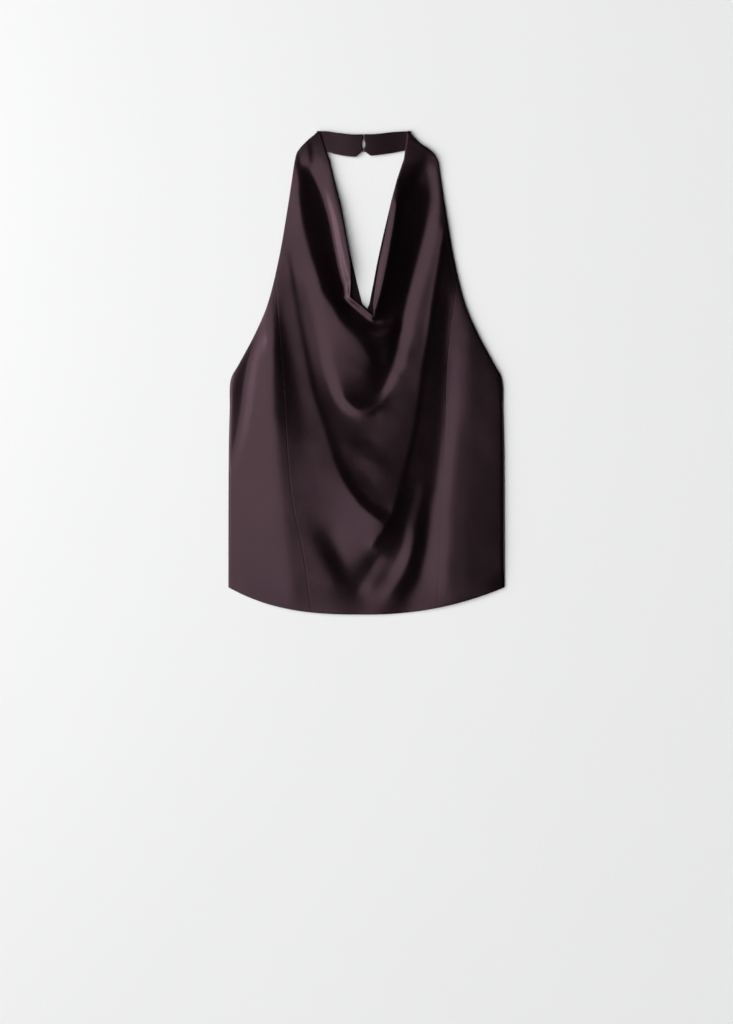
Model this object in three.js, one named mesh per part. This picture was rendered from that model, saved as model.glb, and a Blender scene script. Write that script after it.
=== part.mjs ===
// Halter top with a cowl neck, laid flat on a surface with its front up.
// Millimetres. X runs across the garment, Y from the hem to the neck, Z up from the surface.
// The back lies lowest, the front lies on it in swags, and the neckband is folded under the shoulders.
import * as THREE from 'three';

// Cloth and seams
const CLOTH = 1.2; // wall of every cloth piece
const SEAM_GAP = 0.3; // between pieces that are sewn together or lie on each other
const SECOND_LAYER = CLOTH + SEAM_GAP; // underside of a piece that lies on another
const STEEPEST_WALL = 2.2; // upright measure of the wall at most, as a multiple of CLOTH

// Body
const HEM_Y = -350; // middle of the hem
const HEM_RISE = 39.5; // the hem's rise from its middle to the side seams
const HEM_POWER_LEFT = 2.8; // flat in the middle, turning up towards the sides
const HEM_POWER_RIGHT = 2.12;
const HEM_BLEND_Y = -200; // above this the rows of cloth run level
const HALF_BODY = 200; // middle to side seam at the hem
const UNDERARM_Y = -10;
const BACK_HEM_UP = 1.5; // the back hem sits this much inside the front hem
const BACK_TOP_DIP = 34; // the back's top edge falls this much from the underarms to the middle
const SEAM_TOP_Y = 138; // the princess seams end here, in the armholes

// Neck
const POINT = { x: 10.5, y: 81 }; // lowest point of the neckline edge
const NECK_Y = 350; // neck points, where the band folds under
const SHOULDER_Y = 306; // outer end of the shoulder fold
const SHOULDER_BULGE = 0.72;
const SHOULDER_POWER = 6; // the bulge of the shoulder fold dies out down the strap
const FACING_WIDTH = 17;
const FACING_TOP_Y = 311;
const FACING_LIFT = 3.8; // its top ends rise this much, to be sewn in under the shoulders
const FACING_LIFT_Y = 258; // from here up
const FACING_POINT = { x: 1, y: 93 }; // lowest point of the opening

// Neckband and its closure
const CLOSURE_X = -4.5;
const CLOSURE_LIFT = 3.8; // underside of the band's ends, above the buttons
const SHOULDER_LIFT = 3; // underside of the band at the shoulders, where it turns over
const LIFT_INNER = 8; // the band is level this far from the closure
const LIFT_OUTER = 62; // and level again from here on
const BAND_LEAN = 26; // the shoulder fold leans out from the neck point to the armhole
const OVER_BAND = SHOULDER_LIFT + CLOTH + SEAM_GAP; // underside of the front on the band
const BUTTON_RADIUS = 3.6;
const SHANK_RADIUS = 1.2;
const SHANK_TOP = CLOSURE_LIFT - SEAM_GAP;
const BUTTON_OFFSET = 9; // closure line to the middle of a button
const LOOP_THREAD = 1; // thickness of the thread loops
const LOOP_TUCK = 4; // length of a loop under the left end of the band
const CLOSURES = [
  { name: 'upper', y: 340.6 },
  { name: 'lower', y: 322.6 },
];

// Mesh fineness
const BODY_ROWS = 32;
const ARM_ROWS = 19;
const FRONT_COLUMNS = 12;
const SIDE_SHARES = [0, 0.05, 0.28, 0.52, 0.76, 1]; // side seam to princess seam
const BACK_COLUMNS = 16;
const BAND_COLUMNS = 9;
const ROUND_SIDES = 12; // of a button and of a loop's two turns
const THREAD_SIDES = 6;
const FACING_COLUMNS = 2;

// Right half of the outline: the armhole edge, then the side seam. Each row is the distance from
// the middle at one height.
const OUTLINE = [
  { y: HEM_Y, x: HALF_BODY },
  { y: -120, x: 199.5 },
  { y: -50, x: 198 },
  { y: UNDERARM_Y, x: 196.5 },
  { y: 12, x: 185 },
  { y: 55, x: 162 },
  { y: 99, x: 143 },
  { y: 164, x: 127 },
  { y: 230, x: 115.5 },
  { y: SHOULDER_Y, x: 104 },
];

// Princess seams, from the hem to the armhole
const LEFT_SEAM = [
  { y: HEM_Y, x: -80 },
  { y: -267, x: -91 },
  { y: -170, x: -109 },
  { y: 4, x: -121 },
  { y: SEAM_TOP_Y, x: -132 },
];
const RIGHT_SEAM = [
  { y: HEM_Y, x: 102 },
  { y: -219, x: 107 },
  { y: -74, x: 114 },
  { y: 25, x: 118 },
  { y: SEAM_TOP_Y, x: 132 },
];

// Line up the middle of the front, from the hem to the point of the neckline
const MIDDLE = [
  { y: HEM_Y, x: 6 },
  { y: -100, x: 8 },
  { y: POINT.y, x: POINT.x },
];

// Neckline edge of the front, from its point up to the neck points, with the height of its
// underside
const LEFT_NECKLINE = [
  { y: POINT.y, x: POINT.x, z: 13.5 },
  { y: 109, x: -24, z: 14.4 },
  { y: 130, x: -22.5, z: 12.2 },
  { y: 160, x: -23, z: 10.6 },
  { y: 190, x: -28, z: 9.4 },
  { y: 220, x: -33.5, z: 8.5 },
  { y: 250, x: -39.5, z: 7.1 },
  { y: 280, x: -47.5, z: 5.6 },
  { y: 310, x: -55, z: 5.7 },
  { y: NECK_Y, x: -67, z: 4.8 },
];
const RIGHT_NECKLINE = [
  { y: POINT.y, x: POINT.x, z: 13.5 },
  { y: 100, x: 10, z: 11.8 },
  { y: 130, x: 14, z: 11.6 },
  { y: 160, x: 19, z: 11.4 },
  { y: 190, x: 25.5, z: 10.6 },
  { y: 220, x: 31.5, z: 9.6 },
  { y: 250, x: 36.5, z: 8.6 },
  { y: 280, x: 45, z: 6.8 },
  { y: 304, x: 53.5, z: 5.3 },
  { y: NECK_Y, x: 60, z: 4.8 },
];

// How far the shoulder fold bulges, from the neck point out to the armhole
const SHOULDER_LEFT = [
  { across: 0, bulge: 0 },
  { across: 0.22, bulge: 5.8 },
  { across: 0.63, bulge: 5.1 },
  { across: 0.9, bulge: 1.8 },
  { across: 1, bulge: 0 },
];
const SHOULDER_RIGHT = [
  { across: 0, bulge: 0 },
  { across: 0.26, bulge: 3.9 },
  { across: 0.75, bulge: -1.5 },
  { across: 1, bulge: 0 },
];

// Edge of the facing along the opening, from its point up
const LEFT_OPENING = [
  { y: FACING_POINT.y, x: FACING_POINT.x },
  { y: 101, x: -6.5 },
  { y: 130, x: -14 },
  { y: 160, x: -20.5 },
  { y: 190, x: -27.5 },
  { y: 220, x: -32.5 },
  { y: 250, x: -38.5 },
  { y: 280, x: -46.5 },
  { y: FACING_TOP_Y, x: -54 },
];
const RIGHT_OPENING = [
  { y: FACING_POINT.y, x: FACING_POINT.x },
  { y: 100, x: 4 },
  { y: 130, x: 10 },
  { y: 160, x: 15.5 },
  { y: 190, x: 22 },
  { y: 220, x: 29 },
  { y: 250, x: 36 },
  { y: 280, x: 44 },
  { y: FACING_TOP_Y, x: 54.5 },
];

// Long edges of the neckband from the closure outwards, as distances from the closure line
const BAND_LEFT = [
  { out: 0, top: 345.5, bottom: 313 },
  { out: 18, top: 345.5, bottom: 313 },
  { out: 40, top: 348, bottom: 316.5 },
  { out: 53, top: 350, bottom: 320.5 },
  { out: 66, top: 350, bottom: 324.5 },
];
const BAND_RIGHT = [
  { out: 0, top: 345.5, bottom: 313 },
  { out: 18, top: 346, bottom: 315 },
  { out: 40, top: 348.5, bottom: 318 },
  { out: 53, top: 349.5, bottom: 320.5 },
  { out: 66, top: 350, bottom: 323 },
];
// Ends of the band at the closure, from the bottom edge up: a cut corner, the lower loop, the
// keyhole and the upper loop. across is the share of the band's width, gap the half gap there.
const BAND_END = [
  { across: 0, gap: 10.5 },
  { across: 0.2, gap: 3 },
  { across: 0.26, gap: 0.4 },
  { across: 0.36, gap: 0.4 },
  { across: 0.44, gap: 2.2 },
  { across: 0.58, gap: 2.6 },
  { across: 0.76, gap: 0.9 },
  { across: 0.82, gap: 0.4 },
  { across: 1, gap: 0.4 },
];

// Lines of the front's cloth whose height is known: crests and feet of its folds, walked point by
// point as across, along and up. sharp runs from 0, where the cloth rolls softly over the line,
// to 1, where it keeps its edge.
const LINES = [
  {
    name: 'left edge', sharp: 0.5,
    points: [[-198, -290, 3.2], [-198.5, -200, 3.2], [-198.5, -130, 2.8], [-197, -90, 3],
      [-196, -40, 3.4], [-191, -8, 3.4], [-184, 13, 3.2], [-175, 30, 3], [-165, 50, 2.8],
      [-156, 70, 3.8], [-148, 88, 5.4], [-142, 104, 6.6], [-135, 130, 6.3], [-128, 160, 5.7],
      [-122.5, 190, 4.6], [-117.5, 220, 3], [-113, 250, 1.9], [-109, 280, 1.9], [-105, 303, 5],
      [-100, 319, 5.6], [-84, 337, 5.2], [-70, 348, 4.9]],
  },
  {
    name: 'right edge', sharp: 0.5,
    points: [[197.5, -285, 4.6], [198.5, -220, 4.9], [198.5, -120, 4.8], [197.5, -60, 4.6],
      [192, -8, 4.4], [178, 24, 4.3], [164, 50, 4.4], [152, 77, 4.3], [143, 100, 4],
      [134, 132, 3.4], [127, 162, 2.8], [121.5, 190, 3.4], [116.5, 220, 4.4], [112, 250, 3.6],
      [108, 280, 3.2], [104, 303, 3.8], [95, 319, 4.7], [82, 328, 4.7], [70, 338, 4.8],
      [61, 348, 4.8]],
  },
  {
    name: 'crease foot', sharp: 0.8,
    points: [[-199, -140, 2], [-188, -96, 2], [-181, -60, 2], [-177, -30, 2], [-173, 0, 1.9],
      [-168, 25, 1.7], [-160, 51, 1.7]],
  },
  {
    name: 'crease top', sharp: 0.7,
    points: [[-192, -150, 4.6], [-183, -130, 5.6], [-172, -95, 6.8], [-165, -60, 7.4],
      [-161, -30, 7.4], [-158, 0, 7], [-154, 25, 6.4], [-148, 50, 5.4]],
  },
  {
    name: 'left panel top', sharp: 0.1,
    points: [[-141, 100, 8.4], [-139, 75, 9.4], [-138, 50, 10.2], [-137, 25, 10.8],
      [-136, 0, 11.2], [-136, -30, 11.8], [-135, -60, 12.2], [-132, -95, 12.3], [-130, -130, 12],
      [-127, -160, 11.6], [-123, -190, 11], [-119, -220, 10.2], [-116, -250, 9.5],
      [-112, -280, 8.6], [-109, -310, 7.3], [-108, -328, 6.2]],
  },
  {
    name: 'left low fall', sharp: 0.1,
    points: [[-80, -240, 9.2], [-62, -272, 8.1], [-44, -305, 6.9]],
  },
  {
    name: 'terrace', sharp: 0.1,
    points: [[-128, 100, 7.6], [-121, 75, 7.4], [-118, 50, 7.2], [-112, 25, 7.2], [-106, 0, 7.4],
      [-100, -30, 8], [-94, -60, 9.1], [-88, -95, 10.2], [-88, -130, 10.8], [-87, -160, 10.9],
      [-80, -190, 10.2], [-69, -220, 8.7], [-46, -250, 5.9], [-36, -276, 4.8], [-26, -296, 4.4],
      [-18, -312, 3.6]],
  },
  {
    name: 'left outer trough', sharp: 0.2,
    points: [[-128, 130, 5.9], [-120, 160, 5.7]],
  },
  {
    name: 'second left', sharp: 0.95,
    points: [[-114, 170, 6.2], [-109, 140, 6.7], [-103, 100, 7.8], [-98, 75, 7.6],
      [-93, 50, 7.4], [-88, 25, 7.4], [-83, 0, 7.6], [-77, -30, 8.2], [-67, -60, 9.2],
      [-56, -95, 10.2], [-45, -130, 10.8], [-31, -160, 11.4], [-20, -176, 11.6],
      [-10, -190, 11.7], [6, -204, 11.7], [22, -216, 11.6]],
  },
  {
    name: 'second left foot', sharp: 0.6,
    points: [[-110, 168, 6], [-104, 140, 6.2], [-98, 100, 7.5], [-93, 75, 7.1], [-88, 50, 6.8],
      [-83, 25, 6.7], [-77, 0, 6.8], [-69, -30, 7.3], [-58, -60, 8.2], [-45, -95, 9],
      [-33, -130, 9.2], [-18, -158, 9.4], [-6, -174, 9.4], [7, -188, 9.4], [24, -198, 8.9],
      [36, -205, 8.6]],
  },
  {
    name: 'main outer foot', sharp: 0.7,
    points: [[-87, 134, 7.4], [-79, 100, 8], [-73, 75, 7.5], [-68, 50, 7.1], [-64, 25, 6.8],
      [-58, 0, 6.6], [-47, -30, 6.5], [-39, -46, 6.6], [-27, -59, 7], [-12, -67, 7],
      [4, -66, 6.7], [16, -60, 6.5]],
  },
  {
    name: 'main crest', sharp: 0.6,
    points: [[-102.5, 296, 4.6], [-101, 280, 4.8], [-100, 262, 5.9], [-97, 240, 7],
      [-93, 216, 7.8], [-86, 190, 8.4], [-77, 160, 9.2], [-67, 130, 9.9], [-64, 100, 10.6],
      [-61, 75, 10.2], [-57, 50, 9.6], [-53, 25, 9.5], [-47, 0, 9.5], [-39, -28, 9.6],
      [-28, -44, 9.5], [-11, -55, 9.2], [4, -55, 8.8], [18, -47, 7.9], [30, -37, 6.8],
      [38, -24, 6.6], [46, -8, 6.7], [52, 4, 6.8], [57, 25, 6.8], [63, 50, 6], [68, 75, 6],
      [74, 100, 5.8], [82, 130, 5.6], [92, 160, 5.8], [98, 190, 5.2], [103, 220, 4.6],
      [106, 250, 3.8], [104.5, 280, 3.5], [102, 300, 4.1]],
  },
  {
    name: 'crest lip', sharp: 0.9,
    points: [[-34, -36, 9.5], [-28, -44, 9.5], [-11, -55, 9.4], [4, -55, 9], [18, -47, 8],
      [30, -37, 7]],
  },
  {
    name: 'right lip', sharp: 0.7,
    points: [[4, -54, 9], [13, -47.5, 8.3], [21, -39.5, 7.7], [29, -29, 7.2], [37, -15, 7],
      [44, 1, 7]],
  },
  {
    name: 'hollow floor right', sharp: 0.4,
    points: [[-29, -30, 8.8], [-14, -38, 7.4], [2, -41, 6], [14, -37, 4.6], [23, -28, 3.4],
      [31, -14, 3.2], [38, 2, 3.4], [40.5, 25, 3.4], [47, 50, 1.8], [52, 75, 1.6],
      [58, 100, 1.6], [64, 130, 1.6], [72, 160, 1.6], [80, 190, 1.6], [88, 220, 1.6],
      [93, 250, 1.7], [92, 280, 1.6]],
  },
  {
    name: 'inner edge', sharp: 0.5,
    points: [[-58, 112, 11], [-48, 98, 11.6], [-37, 76, 11.8], [-24, 62, 11.6], [-12, 50, 11.2],
      [4, 25, 10.2], [10, 14, 9.4]],
  },
  {
    name: 'inner plateau', sharp: 0.2,
    points: [[-30, 14, 9.9], [-14, 4, 9.9], [0, 0, 9.5], [9, 2, 8.8]],
  },
  {
    name: 'left roll foot', sharp: 0.7,
    points: [[-82, 296, 2.2], [-75, 281, 1.7], [-59, 250, 1.6], [-50, 220, 1.6], [-43, 190, 1.6],
      [-37, 160, 1.7], [-30, 130, 1.9], [-28, 112, 2.2]],
  },
  {
    name: 'point edge foot', sharp: 0.95,
    points: [[-27, 104.5, 3.6], [-16, 96, 5.2], [-3, 85.5, 6], [7, 76.5, 5.7], [15, 76, 5.4]],
  },
  {
    name: 'hollow ridge', sharp: 0.8,
    points: [[0, 59, 8.4], [10, 60, 7.9], [24, 62, 7.6], [37, 66, 7.2], [44, 70, 5.8]],
  },
  {
    name: 'hollow ridge low', sharp: 0.8,
    points: [[5, 54, 8.1], [20, 56, 7.8], [35, 60, 7.4]],
  },
  {
    name: 'hollow ridge above', sharp: 0.6,
    points: [[4, 67, 6.6], [14, 69, 5.4], [26, 72, 4.6], [37, 77, 3.8]],
  },
  {
    name: 'hollow small ridge', sharp: 0.6,
    points: [[29, 12, 6.1], [33.5, 25, 6.2], [37, 39, 5.6]],
  },
  {
    name: 'hollow small step', sharp: 0.3,
    points: [[13, 10, 7.8], [18, 25, 6.8], [19, 40, 7]],
  },
  {
    name: 'left roll', sharp: 0.6,
    points: [[-55, 284, 5.8], [-53.5, 272, 6.2], [-50, 250, 7.7], [-43, 220, 9.2],
      [-39, 190, 10.2], [-33, 160, 11.3], [-27, 135, 12.6]],
  },
  {
    name: 'right strip in', sharp: 0.6,
    points: [[14, 92, 14.6], [16, 100, 15], [21, 130, 15.2], [27, 160, 14.8], [32, 190, 13.8],
      [37, 220, 12.6], [42, 248, 11], [49, 270, 8.6]],
  },
  {
    name: 'right neck lip', sharp: 0.9,
    points: [[13.5, 106, 11.3], [16, 130, 11.1], [21, 160, 10.9], [27.5, 190, 10.1],
      [33.5, 220, 9.1], [38.5, 246, 8.2]],
  },
  {
    name: 'right strip out', sharp: 0.9,
    points: [[17, 92, 14.5], [19, 102, 14.9], [26.5, 130, 15.1], [33, 160, 14.7],
      [38.5, 190, 13.7], [43.5, 220, 12.4], [47.5, 246, 10.8]],
  },
  {
    name: 'right strip foot', sharp: 0.8,
    points: [[21, 90, 8.2], [23, 102, 9.2], [31, 130, 10], [37.5, 160, 10], [43, 190, 9.4],
      [47.5, 220, 8.2], [51, 246, 6.8]],
  },
  {
    name: 'right strap fall', sharp: 0.3,
    points: [[79, 314, 5.3], [70, 302, 5.3], [63, 290, 5.6], [59, 281, 5.9], [61, 268, 4.8]],
  },
  {
    name: 'right hollow ridge', sharp: 0.4,
    points: [[84, 298, 2.6], [83, 282, 2.4], [81, 266, 2.6]],
  },
  {
    name: 'left hollow step', sharp: 0.4,
    points: [[-88, 296, 2.6], [-87, 282, 3.2], [-84, 262, 3.9], [-82, 244, 4.2]],
  },
  {
    name: 'right strap hollow', sharp: 0.5,
    points: [[86, 318, 4.7], [87, 308, 4.2], [90, 292, 2.2], [91, 280, 1.6]],
  },
  {
    name: 'right hollow floor', sharp: 0.4,
    points: [[80, 296, 3], [75, 284, 1.9], [72, 274, 1.7]],
  },
  {
    name: 'left tuck trough', sharp: 0.85,
    points: [[-97.5, 320, 4.8], [-96.5, 310, 4.4], [-96, 299, 3]],
  },
  {
    name: 'left tuck ridge', sharp: 0.85,
    points: [[-93, 325, 5.4], [-91.5, 311, 5.4], [-90, 301, 4]],
  },
  {
    name: 'left tuck foot', sharp: 0.85,
    points: [[-90, 327, 5], [-88.5, 312, 4.9], [-87, 302, 3.6]],
  },
  {
    name: 'left second tuck', sharp: 0.85,
    points: [[-86, 332, 5.5], [-84, 314, 5.8], [-82, 302, 4.9]],
  },
  {
    name: 'left second foot', sharp: 0.85,
    points: [[-81, 334, 4.9], [-80, 314, 4.9], [-78, 301, 3.8]],
  },
  {
    name: 'left shoulder top', sharp: 0.4,
    points: [[-73, 328, 5.1], [-71, 314, 5.3], [-62, 306, 5.9]],
  },
  {
    name: 'second right', sharp: 0.95,
    points: [[8, -250, 9], [18, -236, 10.2], [28, -221, 11], [41, -193, 8.6], [50, -162, 6.9],
      [57, -131, 6.2], [66, -96, 5.7], [72.5, -60, 5.6], [77, -30, 6], [80.5, 0, 6.7],
      [84.5, 25, 7], [88.5, 50, 6.6], [92, 75, 6.8], [95.5, 100, 6.8], [100.5, 130, 6.7],
      [105.5, 160, 6.7], [110.5, 190, 6.2], [114, 210, 5.6]],
  },
  {
    name: 'second right inner', sharp: 0.8,
    points: [[79, 25, 6.7], [83, 50, 6], [86.5, 75, 6.05], [90, 100, 5.95], [95, 130, 5.8],
      [100, 160, 5.8], [105, 190, 5.35], [108.5, 212, 5]],
  },
  {
    name: 'second right foot', sharp: 0.9,
    points: [[16, -262, 6.2], [26, -246, 7.4], [36, -226, 8.4], [47, -199, 7], [56, -164, 5.6],
      [62.5, -131, 4.9], [71, -96, 4.6], [77, -60, 4.5], [81.5, -30, 4.9], [84.5, 0, 5.6],
      [88.5, 25, 5.8], [92.5, 50, 5.4], [96, 75, 5.5], [99.5, 100, 5.4], [104.5, 130, 5.2],
      [109.5, 160, 5.1], [114, 190, 4.6]],
  },
  {
    name: 'band foot', sharp: 0.2,
    points: [[121, 110, 3.1], [117, 75, 2.7], [116.5, 25, 2.5], [115.5, -30, 2], [114, -62, 1.9],
      [111.5, -95, 1.8], [106, -130, 2], [102, -160, 2.2], [92, -190, 2.4], [89, -220, 2.4],
      [86, -250, 2], [80, -280, 1.8], [72, -308, 2.1], [58, -328, 2]],
  },
  {
    name: 'ridge A', sharp: 0.4,
    points: [[24, -331, 4.4], [41, -310, 6.2], [57, -281, 5.8], [67, -250, 6.2], [71, -222, 6],
      [78, -192, 4.6], [85, -164, 4]],
  },
  {
    name: 'ridge A foot', sharp: 0.4,
    points: [[-2, -332, 3.2], [19, -311, 4.2], [40, -281, 2.8], [53, -251, 4], [57, -221, 5.2],
      [65, -192, 4.2], [74, -166, 4]],
  },
  {
    name: 'ridge B', sharp: 0.4,
    points: [[5, -311, 4.8], [19, -292, 3.6], [29, -279, 3.2]],
  },
  {
    name: 'ridge B foot', sharp: 0.4,
    points: [[-15, -318, 3], [0, -296, 2.7], [8, -282, 2.2], [19, -266, 4]],
  },
  {
    name: 'third facet', sharp: 0.2,
    points: [[-50, -226, 7.5], [-25, -234, 8.6], [0, -232, 10], [14, -230, 10.8]],
  },
  {
    name: 'third facet foot', sharp: 0.2,
    points: [[-30, -262, 5.7], [-12, -268, 5.8], [0, -266, 5.8]],
  },
  {
    name: 'roll dark above', sharp: 0.3,
    points: [[-20, -92, 7.9], [-6, -96, 6.8], [14, -100, 6.2]],
  },
  {
    name: 'middle roll', sharp: 0.4,
    points: [[-28, -108, 8.9], [-12, -119, 8.7], [6, -128, 8.7], [26, -137, 8.2]],
  },
  {
    name: 'roll dark below', sharp: 0.3,
    points: [[-22, -132, 8.7], [-8, -146, 8.4], [8, -156, 7.8]],
  },
  {
    name: 'strip rise', sharp: 0.2,
    points: [[116.5, -95, 2.7], [112, -130, 2.7], [109, -160, 3], [104, -190, 3.4],
      [100, -220, 3.5], [98, -250, 3.4], [96, -280, 3.4], [93, -310, 3.4]],
  },
  {
    name: 'seam strip', sharp: 0.2,
    points: [[134, 100, 3.9], [135, 50, 4], [134, 0, 4.2], [132, -60, 4.5], [127, -95, 4.8],
      [122, -130, 5], [119, -190, 5.8], [117, -250, 6.2], [115, -310, 5.6]],
  },
  {
    name: 'right ridge', sharp: 0.2,
    points: [[147, 60, 4.7], [147, 0, 4.8], [147, -60, 5], [146, -130, 5.2], [144, -190, 5.9],
      [143, -250, 6.2], [144, -300, 5.6]],
  },
  {
    name: 'hem', sharp: 0.2,
    points: [[-185, -318.5, 4.2], [-150, -332.6, 4.8], [-112, -342, 4.8], [-78, -346.6, 4.2],
      [-45, -348.8, 4.4], [-10, -349.5, 3.6], [20, -349, 3.8], [45, -347.8, 2.5],
      [62, -346.2, 2.2], [95, -341.2, 3.8], [122, -335.6, 4.5], [150, -328, 4.4],
      [185, -316, 4.2]],
  },
];

// The front is cloth drawn taut between those lines. Its height is found on a square grid, from
// coarse to fine, and its folds are rounded at the end.
const FIELD = { left: -224, right: 224, low: -376, high: 376 };
const FIELD_STEPS = [16, 8, 4, 2];
const MARGIN = 16; // the grid holds cloth this far outside the outline
const LINE_STEPS = 12; // steps between two points of a line
const DRAWN_ROUNDS = 260;
const FINEST_ROUNDS = 120;
const DRAWN_SHARE = 1.7; // each round moves a place this share of the way, and past, to the mean
const ROLL_PASSES = 26;
const SHARP_PASSES = 3;

// Head of a button from the surface up: share of its radius, and height
const BUTTON_HEAD = [
  [0, 0], [0.6, 0], [0.92, 0.5], [1, 1.1], [0.92, 1.8], [0.6, 2.2],
];

// Colours
const SATIN = 0x4f3a42;
const INNER_SATIN = 0x2a1c21;
const THREAD = 0x1d1316;

function clamp(value) {
  return Math.min(1, Math.max(0, value));
}

function ease(value) {
  const share = clamp(value);
  return share * share * (3 - 2 * share);
}

function mix(from, to, share) {
  return from + (to - from) * share;
}

// Smooth value of one column of a table at a place in another column, which rises row by row.
function lookUp(rows, key, column, at) {
  const last = rows.length - 1;
  let row = 0;
  while (row < last - 1 && at > rows[row + 1][key]) {
    row += 1;
  }
  const slope = (i, j) => (rows[j][column] - rows[i][column]) / (rows[j][key] - rows[i][key]);
  const span = rows[row + 1][key] - rows[row][key];
  const share = clamp((at - rows[row][key]) / span);
  const startSlope = slope(Math.max(row - 1, 0), row + 1) * span;
  const endSlope = slope(row, Math.min(row + 2, last)) * span;
  const square = share * share;
  const cube = square * share;
  return (2 * cube - 3 * square + 1) * rows[row][column]
    + (cube - 2 * square + share) * startSlope
    + (3 * square - 2 * cube) * rows[row + 1][column]
    + (cube - square) * endSlope;
}

function straightLookUp(rows, key, column, at) {
  const last = rows.length - 1;
  let row = 0;
  while (row < last - 1 && at > rows[row + 1][key]) {
    row += 1;
  }
  const share = clamp((at - rows[row][key]) / (rows[row + 1][key] - rows[row][key]));
  return mix(rows[row][column], rows[row + 1][column], share);
}

function outlineAt(y) {
  return lookUp(OUTLINE, 'y', 'x', y);
}

function hemRise(x) {
  const power = x < 0 ? HEM_POWER_LEFT : HEM_POWER_RIGHT;
  return HEM_RISE * (Math.abs(x) / HALF_BODY) ** power;
}

// Underside of the front where it has no fold. It lies on the back, the facing and the neckband,
// and its armhole edges may come down to the surface between the underarm and the shoulder.
function restHeight(x, y) {
  const inside = outlineAt(Math.min(y, SHOULDER_Y)) - Math.abs(x);
  const overArm = ease((y - UNDERARM_Y - 14) / 30) * ease((SHOULDER_Y - 8 - y) / 30);
  const overBand = ease((y - 296) / 18);
  const low = SECOND_LAYER * (1 - overArm * (1 - ease(inside / 16)));
  return mix(low, OVER_BAND, overBand);
}

function beyondFront(x, y) {
  const share = clamp((y - SHOULDER_Y) / (NECK_Y - SHOULDER_Y));
  const edge = outlineAt(Math.min(y, SHOULDER_Y)) - 40 * share + MARGIN;
  return Math.abs(x) > edge || y < HEM_Y - MARGIN + hemRise(x) || y > NECK_Y + MARGIN;
}

// Numbers at the places of a square grid, read smoothly between them.
class Field {
  constructor(step) {
    this.step = step;
    this.columns = (FIELD.right - FIELD.left) / step + 1;
    this.rows = (FIELD.high - FIELD.low) / step + 1;
    this.values = new Float64Array(this.columns * this.rows);
  }

  // Calls visit with the index and the place of every place that has four neighbours.
  forInside(visit) {
    for (let row = 1; row < this.rows - 1; row += 1) {
      for (let column = 1; column < this.columns - 1; column += 1) {
        visit(row * this.columns + column, row + column);
      }
    }
  }

  placeOf(index) {
    const row = Math.floor(index / this.columns);
    const column = index - row * this.columns;
    return { x: FIELD.left + this.step * column, y: FIELD.low + this.step * row };
  }

  indexNear({ x, y }) {
    const row = Math.round((y - FIELD.low) / this.step);
    return row * this.columns + Math.round((x - FIELD.left) / this.step);
  }

  meanAround(index) {
    const { values, columns } = this;
    return 0.25 * (values[index - 1] + values[index + 1]
      + values[index - columns] + values[index + columns]);
  }

  at(x, y) {
    const across = Math.min(Math.max((x - FIELD.left) / this.step, 1), this.columns - 2.001);
    const along = Math.min(Math.max((y - FIELD.low) / this.step, 1), this.rows - 2.001);
    const column = Math.floor(across);
    const row = Math.floor(along);
    const rowWeights = cubicWeights(along - row);
    const columnWeights = cubicWeights(across - column);
    let sum = 0;
    for (let up = 0; up < 4; up += 1) {
      for (let over = 0; over < 4; over += 1) {
        const index = (row + up - 1) * this.columns + column + over - 1;
        sum += rowWeights[up] * columnWeights[over] * this.values[index];
      }
    }
    return sum;
  }
}

function cubicWeights(share) {
  const square = share * share;
  const cube = square * share;
  return [0.5 * (2 * square - cube - share), 0.5 * (3 * cube - 5 * square + 2),
    0.5 * (share + 4 * square - 3 * cube), 0.5 * (cube - square)];
}

function smoothLine(points, steps) {
  const corners = points.map(([x, y, z]) => new THREE.Vector3(x, y, z));
  const curve = new THREE.CatmullRomCurve3(corners, false, 'catmullrom', 0.5);
  return curve.getPoints(steps * (points.length - 1));
}

// Adds the heights of a line to the places that it passes.
function layLine(field, points, total, count) {
  for (let corner = 0; corner < points.length - 1; corner += 1) {
    const from = points[corner];
    const to = points[corner + 1];
    const length = Math.hypot(to.x - from.x, to.y - from.y);
    const steps = Math.max(1, Math.ceil(length / (0.4 * field.step)));
    for (let step = 0; step < steps; step += 1) {
      const share = step / steps;
      const place = { x: mix(from.x, to.x, share), y: mix(from.y, to.y, share) };
      const index = field.indexNear(place);
      total[index] += mix(from.z, to.z, share);
      count[index] += 1;
    }
  }
}

// Cloth drawn taut between the lines on one grid, starting from a coarser one.
function drawnCloth(step, coarser) {
  const field = new Field(step);
  const size = field.values.length;
  const total = new Float64Array(size);
  const count = new Float64Array(size);
  for (const line of LINES) {
    layLine(field, smoothLine(line.points, LINE_STEPS), total, count);
  }
  layLine(field, LEFT_NECKLINE, total, count);
  layLine(field, RIGHT_NECKLINE, total, count);
  const free = new Uint8Array(size);
  for (let index = 0; index < size; index += 1) {
    const { x, y } = field.placeOf(index);
    if (beyondFront(x, y)) {
      field.values[index] = restHeight(x, y);
    } else if (count[index] > 0) {
      field.values[index] = total[index] / count[index];
    } else {
      field.values[index] = coarser ? coarser.at(x, y) : 4;
      free[index] = 1;
    }
  }
  const rounds = step > 3 ? DRAWN_ROUNDS : FINEST_ROUNDS;
  for (let turn = 0; turn < 2 * rounds; turn += 1) {
    field.forInside((index, parity) => {
      if (free[index] && parity % 2 === turn % 2) {
        const away = field.meanAround(index) - field.values[index];
        field.values[index] += DRAWN_SHARE * away;
      }
    });
  }
  return field;
}

// A field whose places each become what change gives for them, all at once.
function changed(field, change) {
  const next = new Field(field.step);
  next.values.set(field.values);
  field.forInside((index) => {
    next.values[index] = change(index);
  });
  return next;
}

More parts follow.
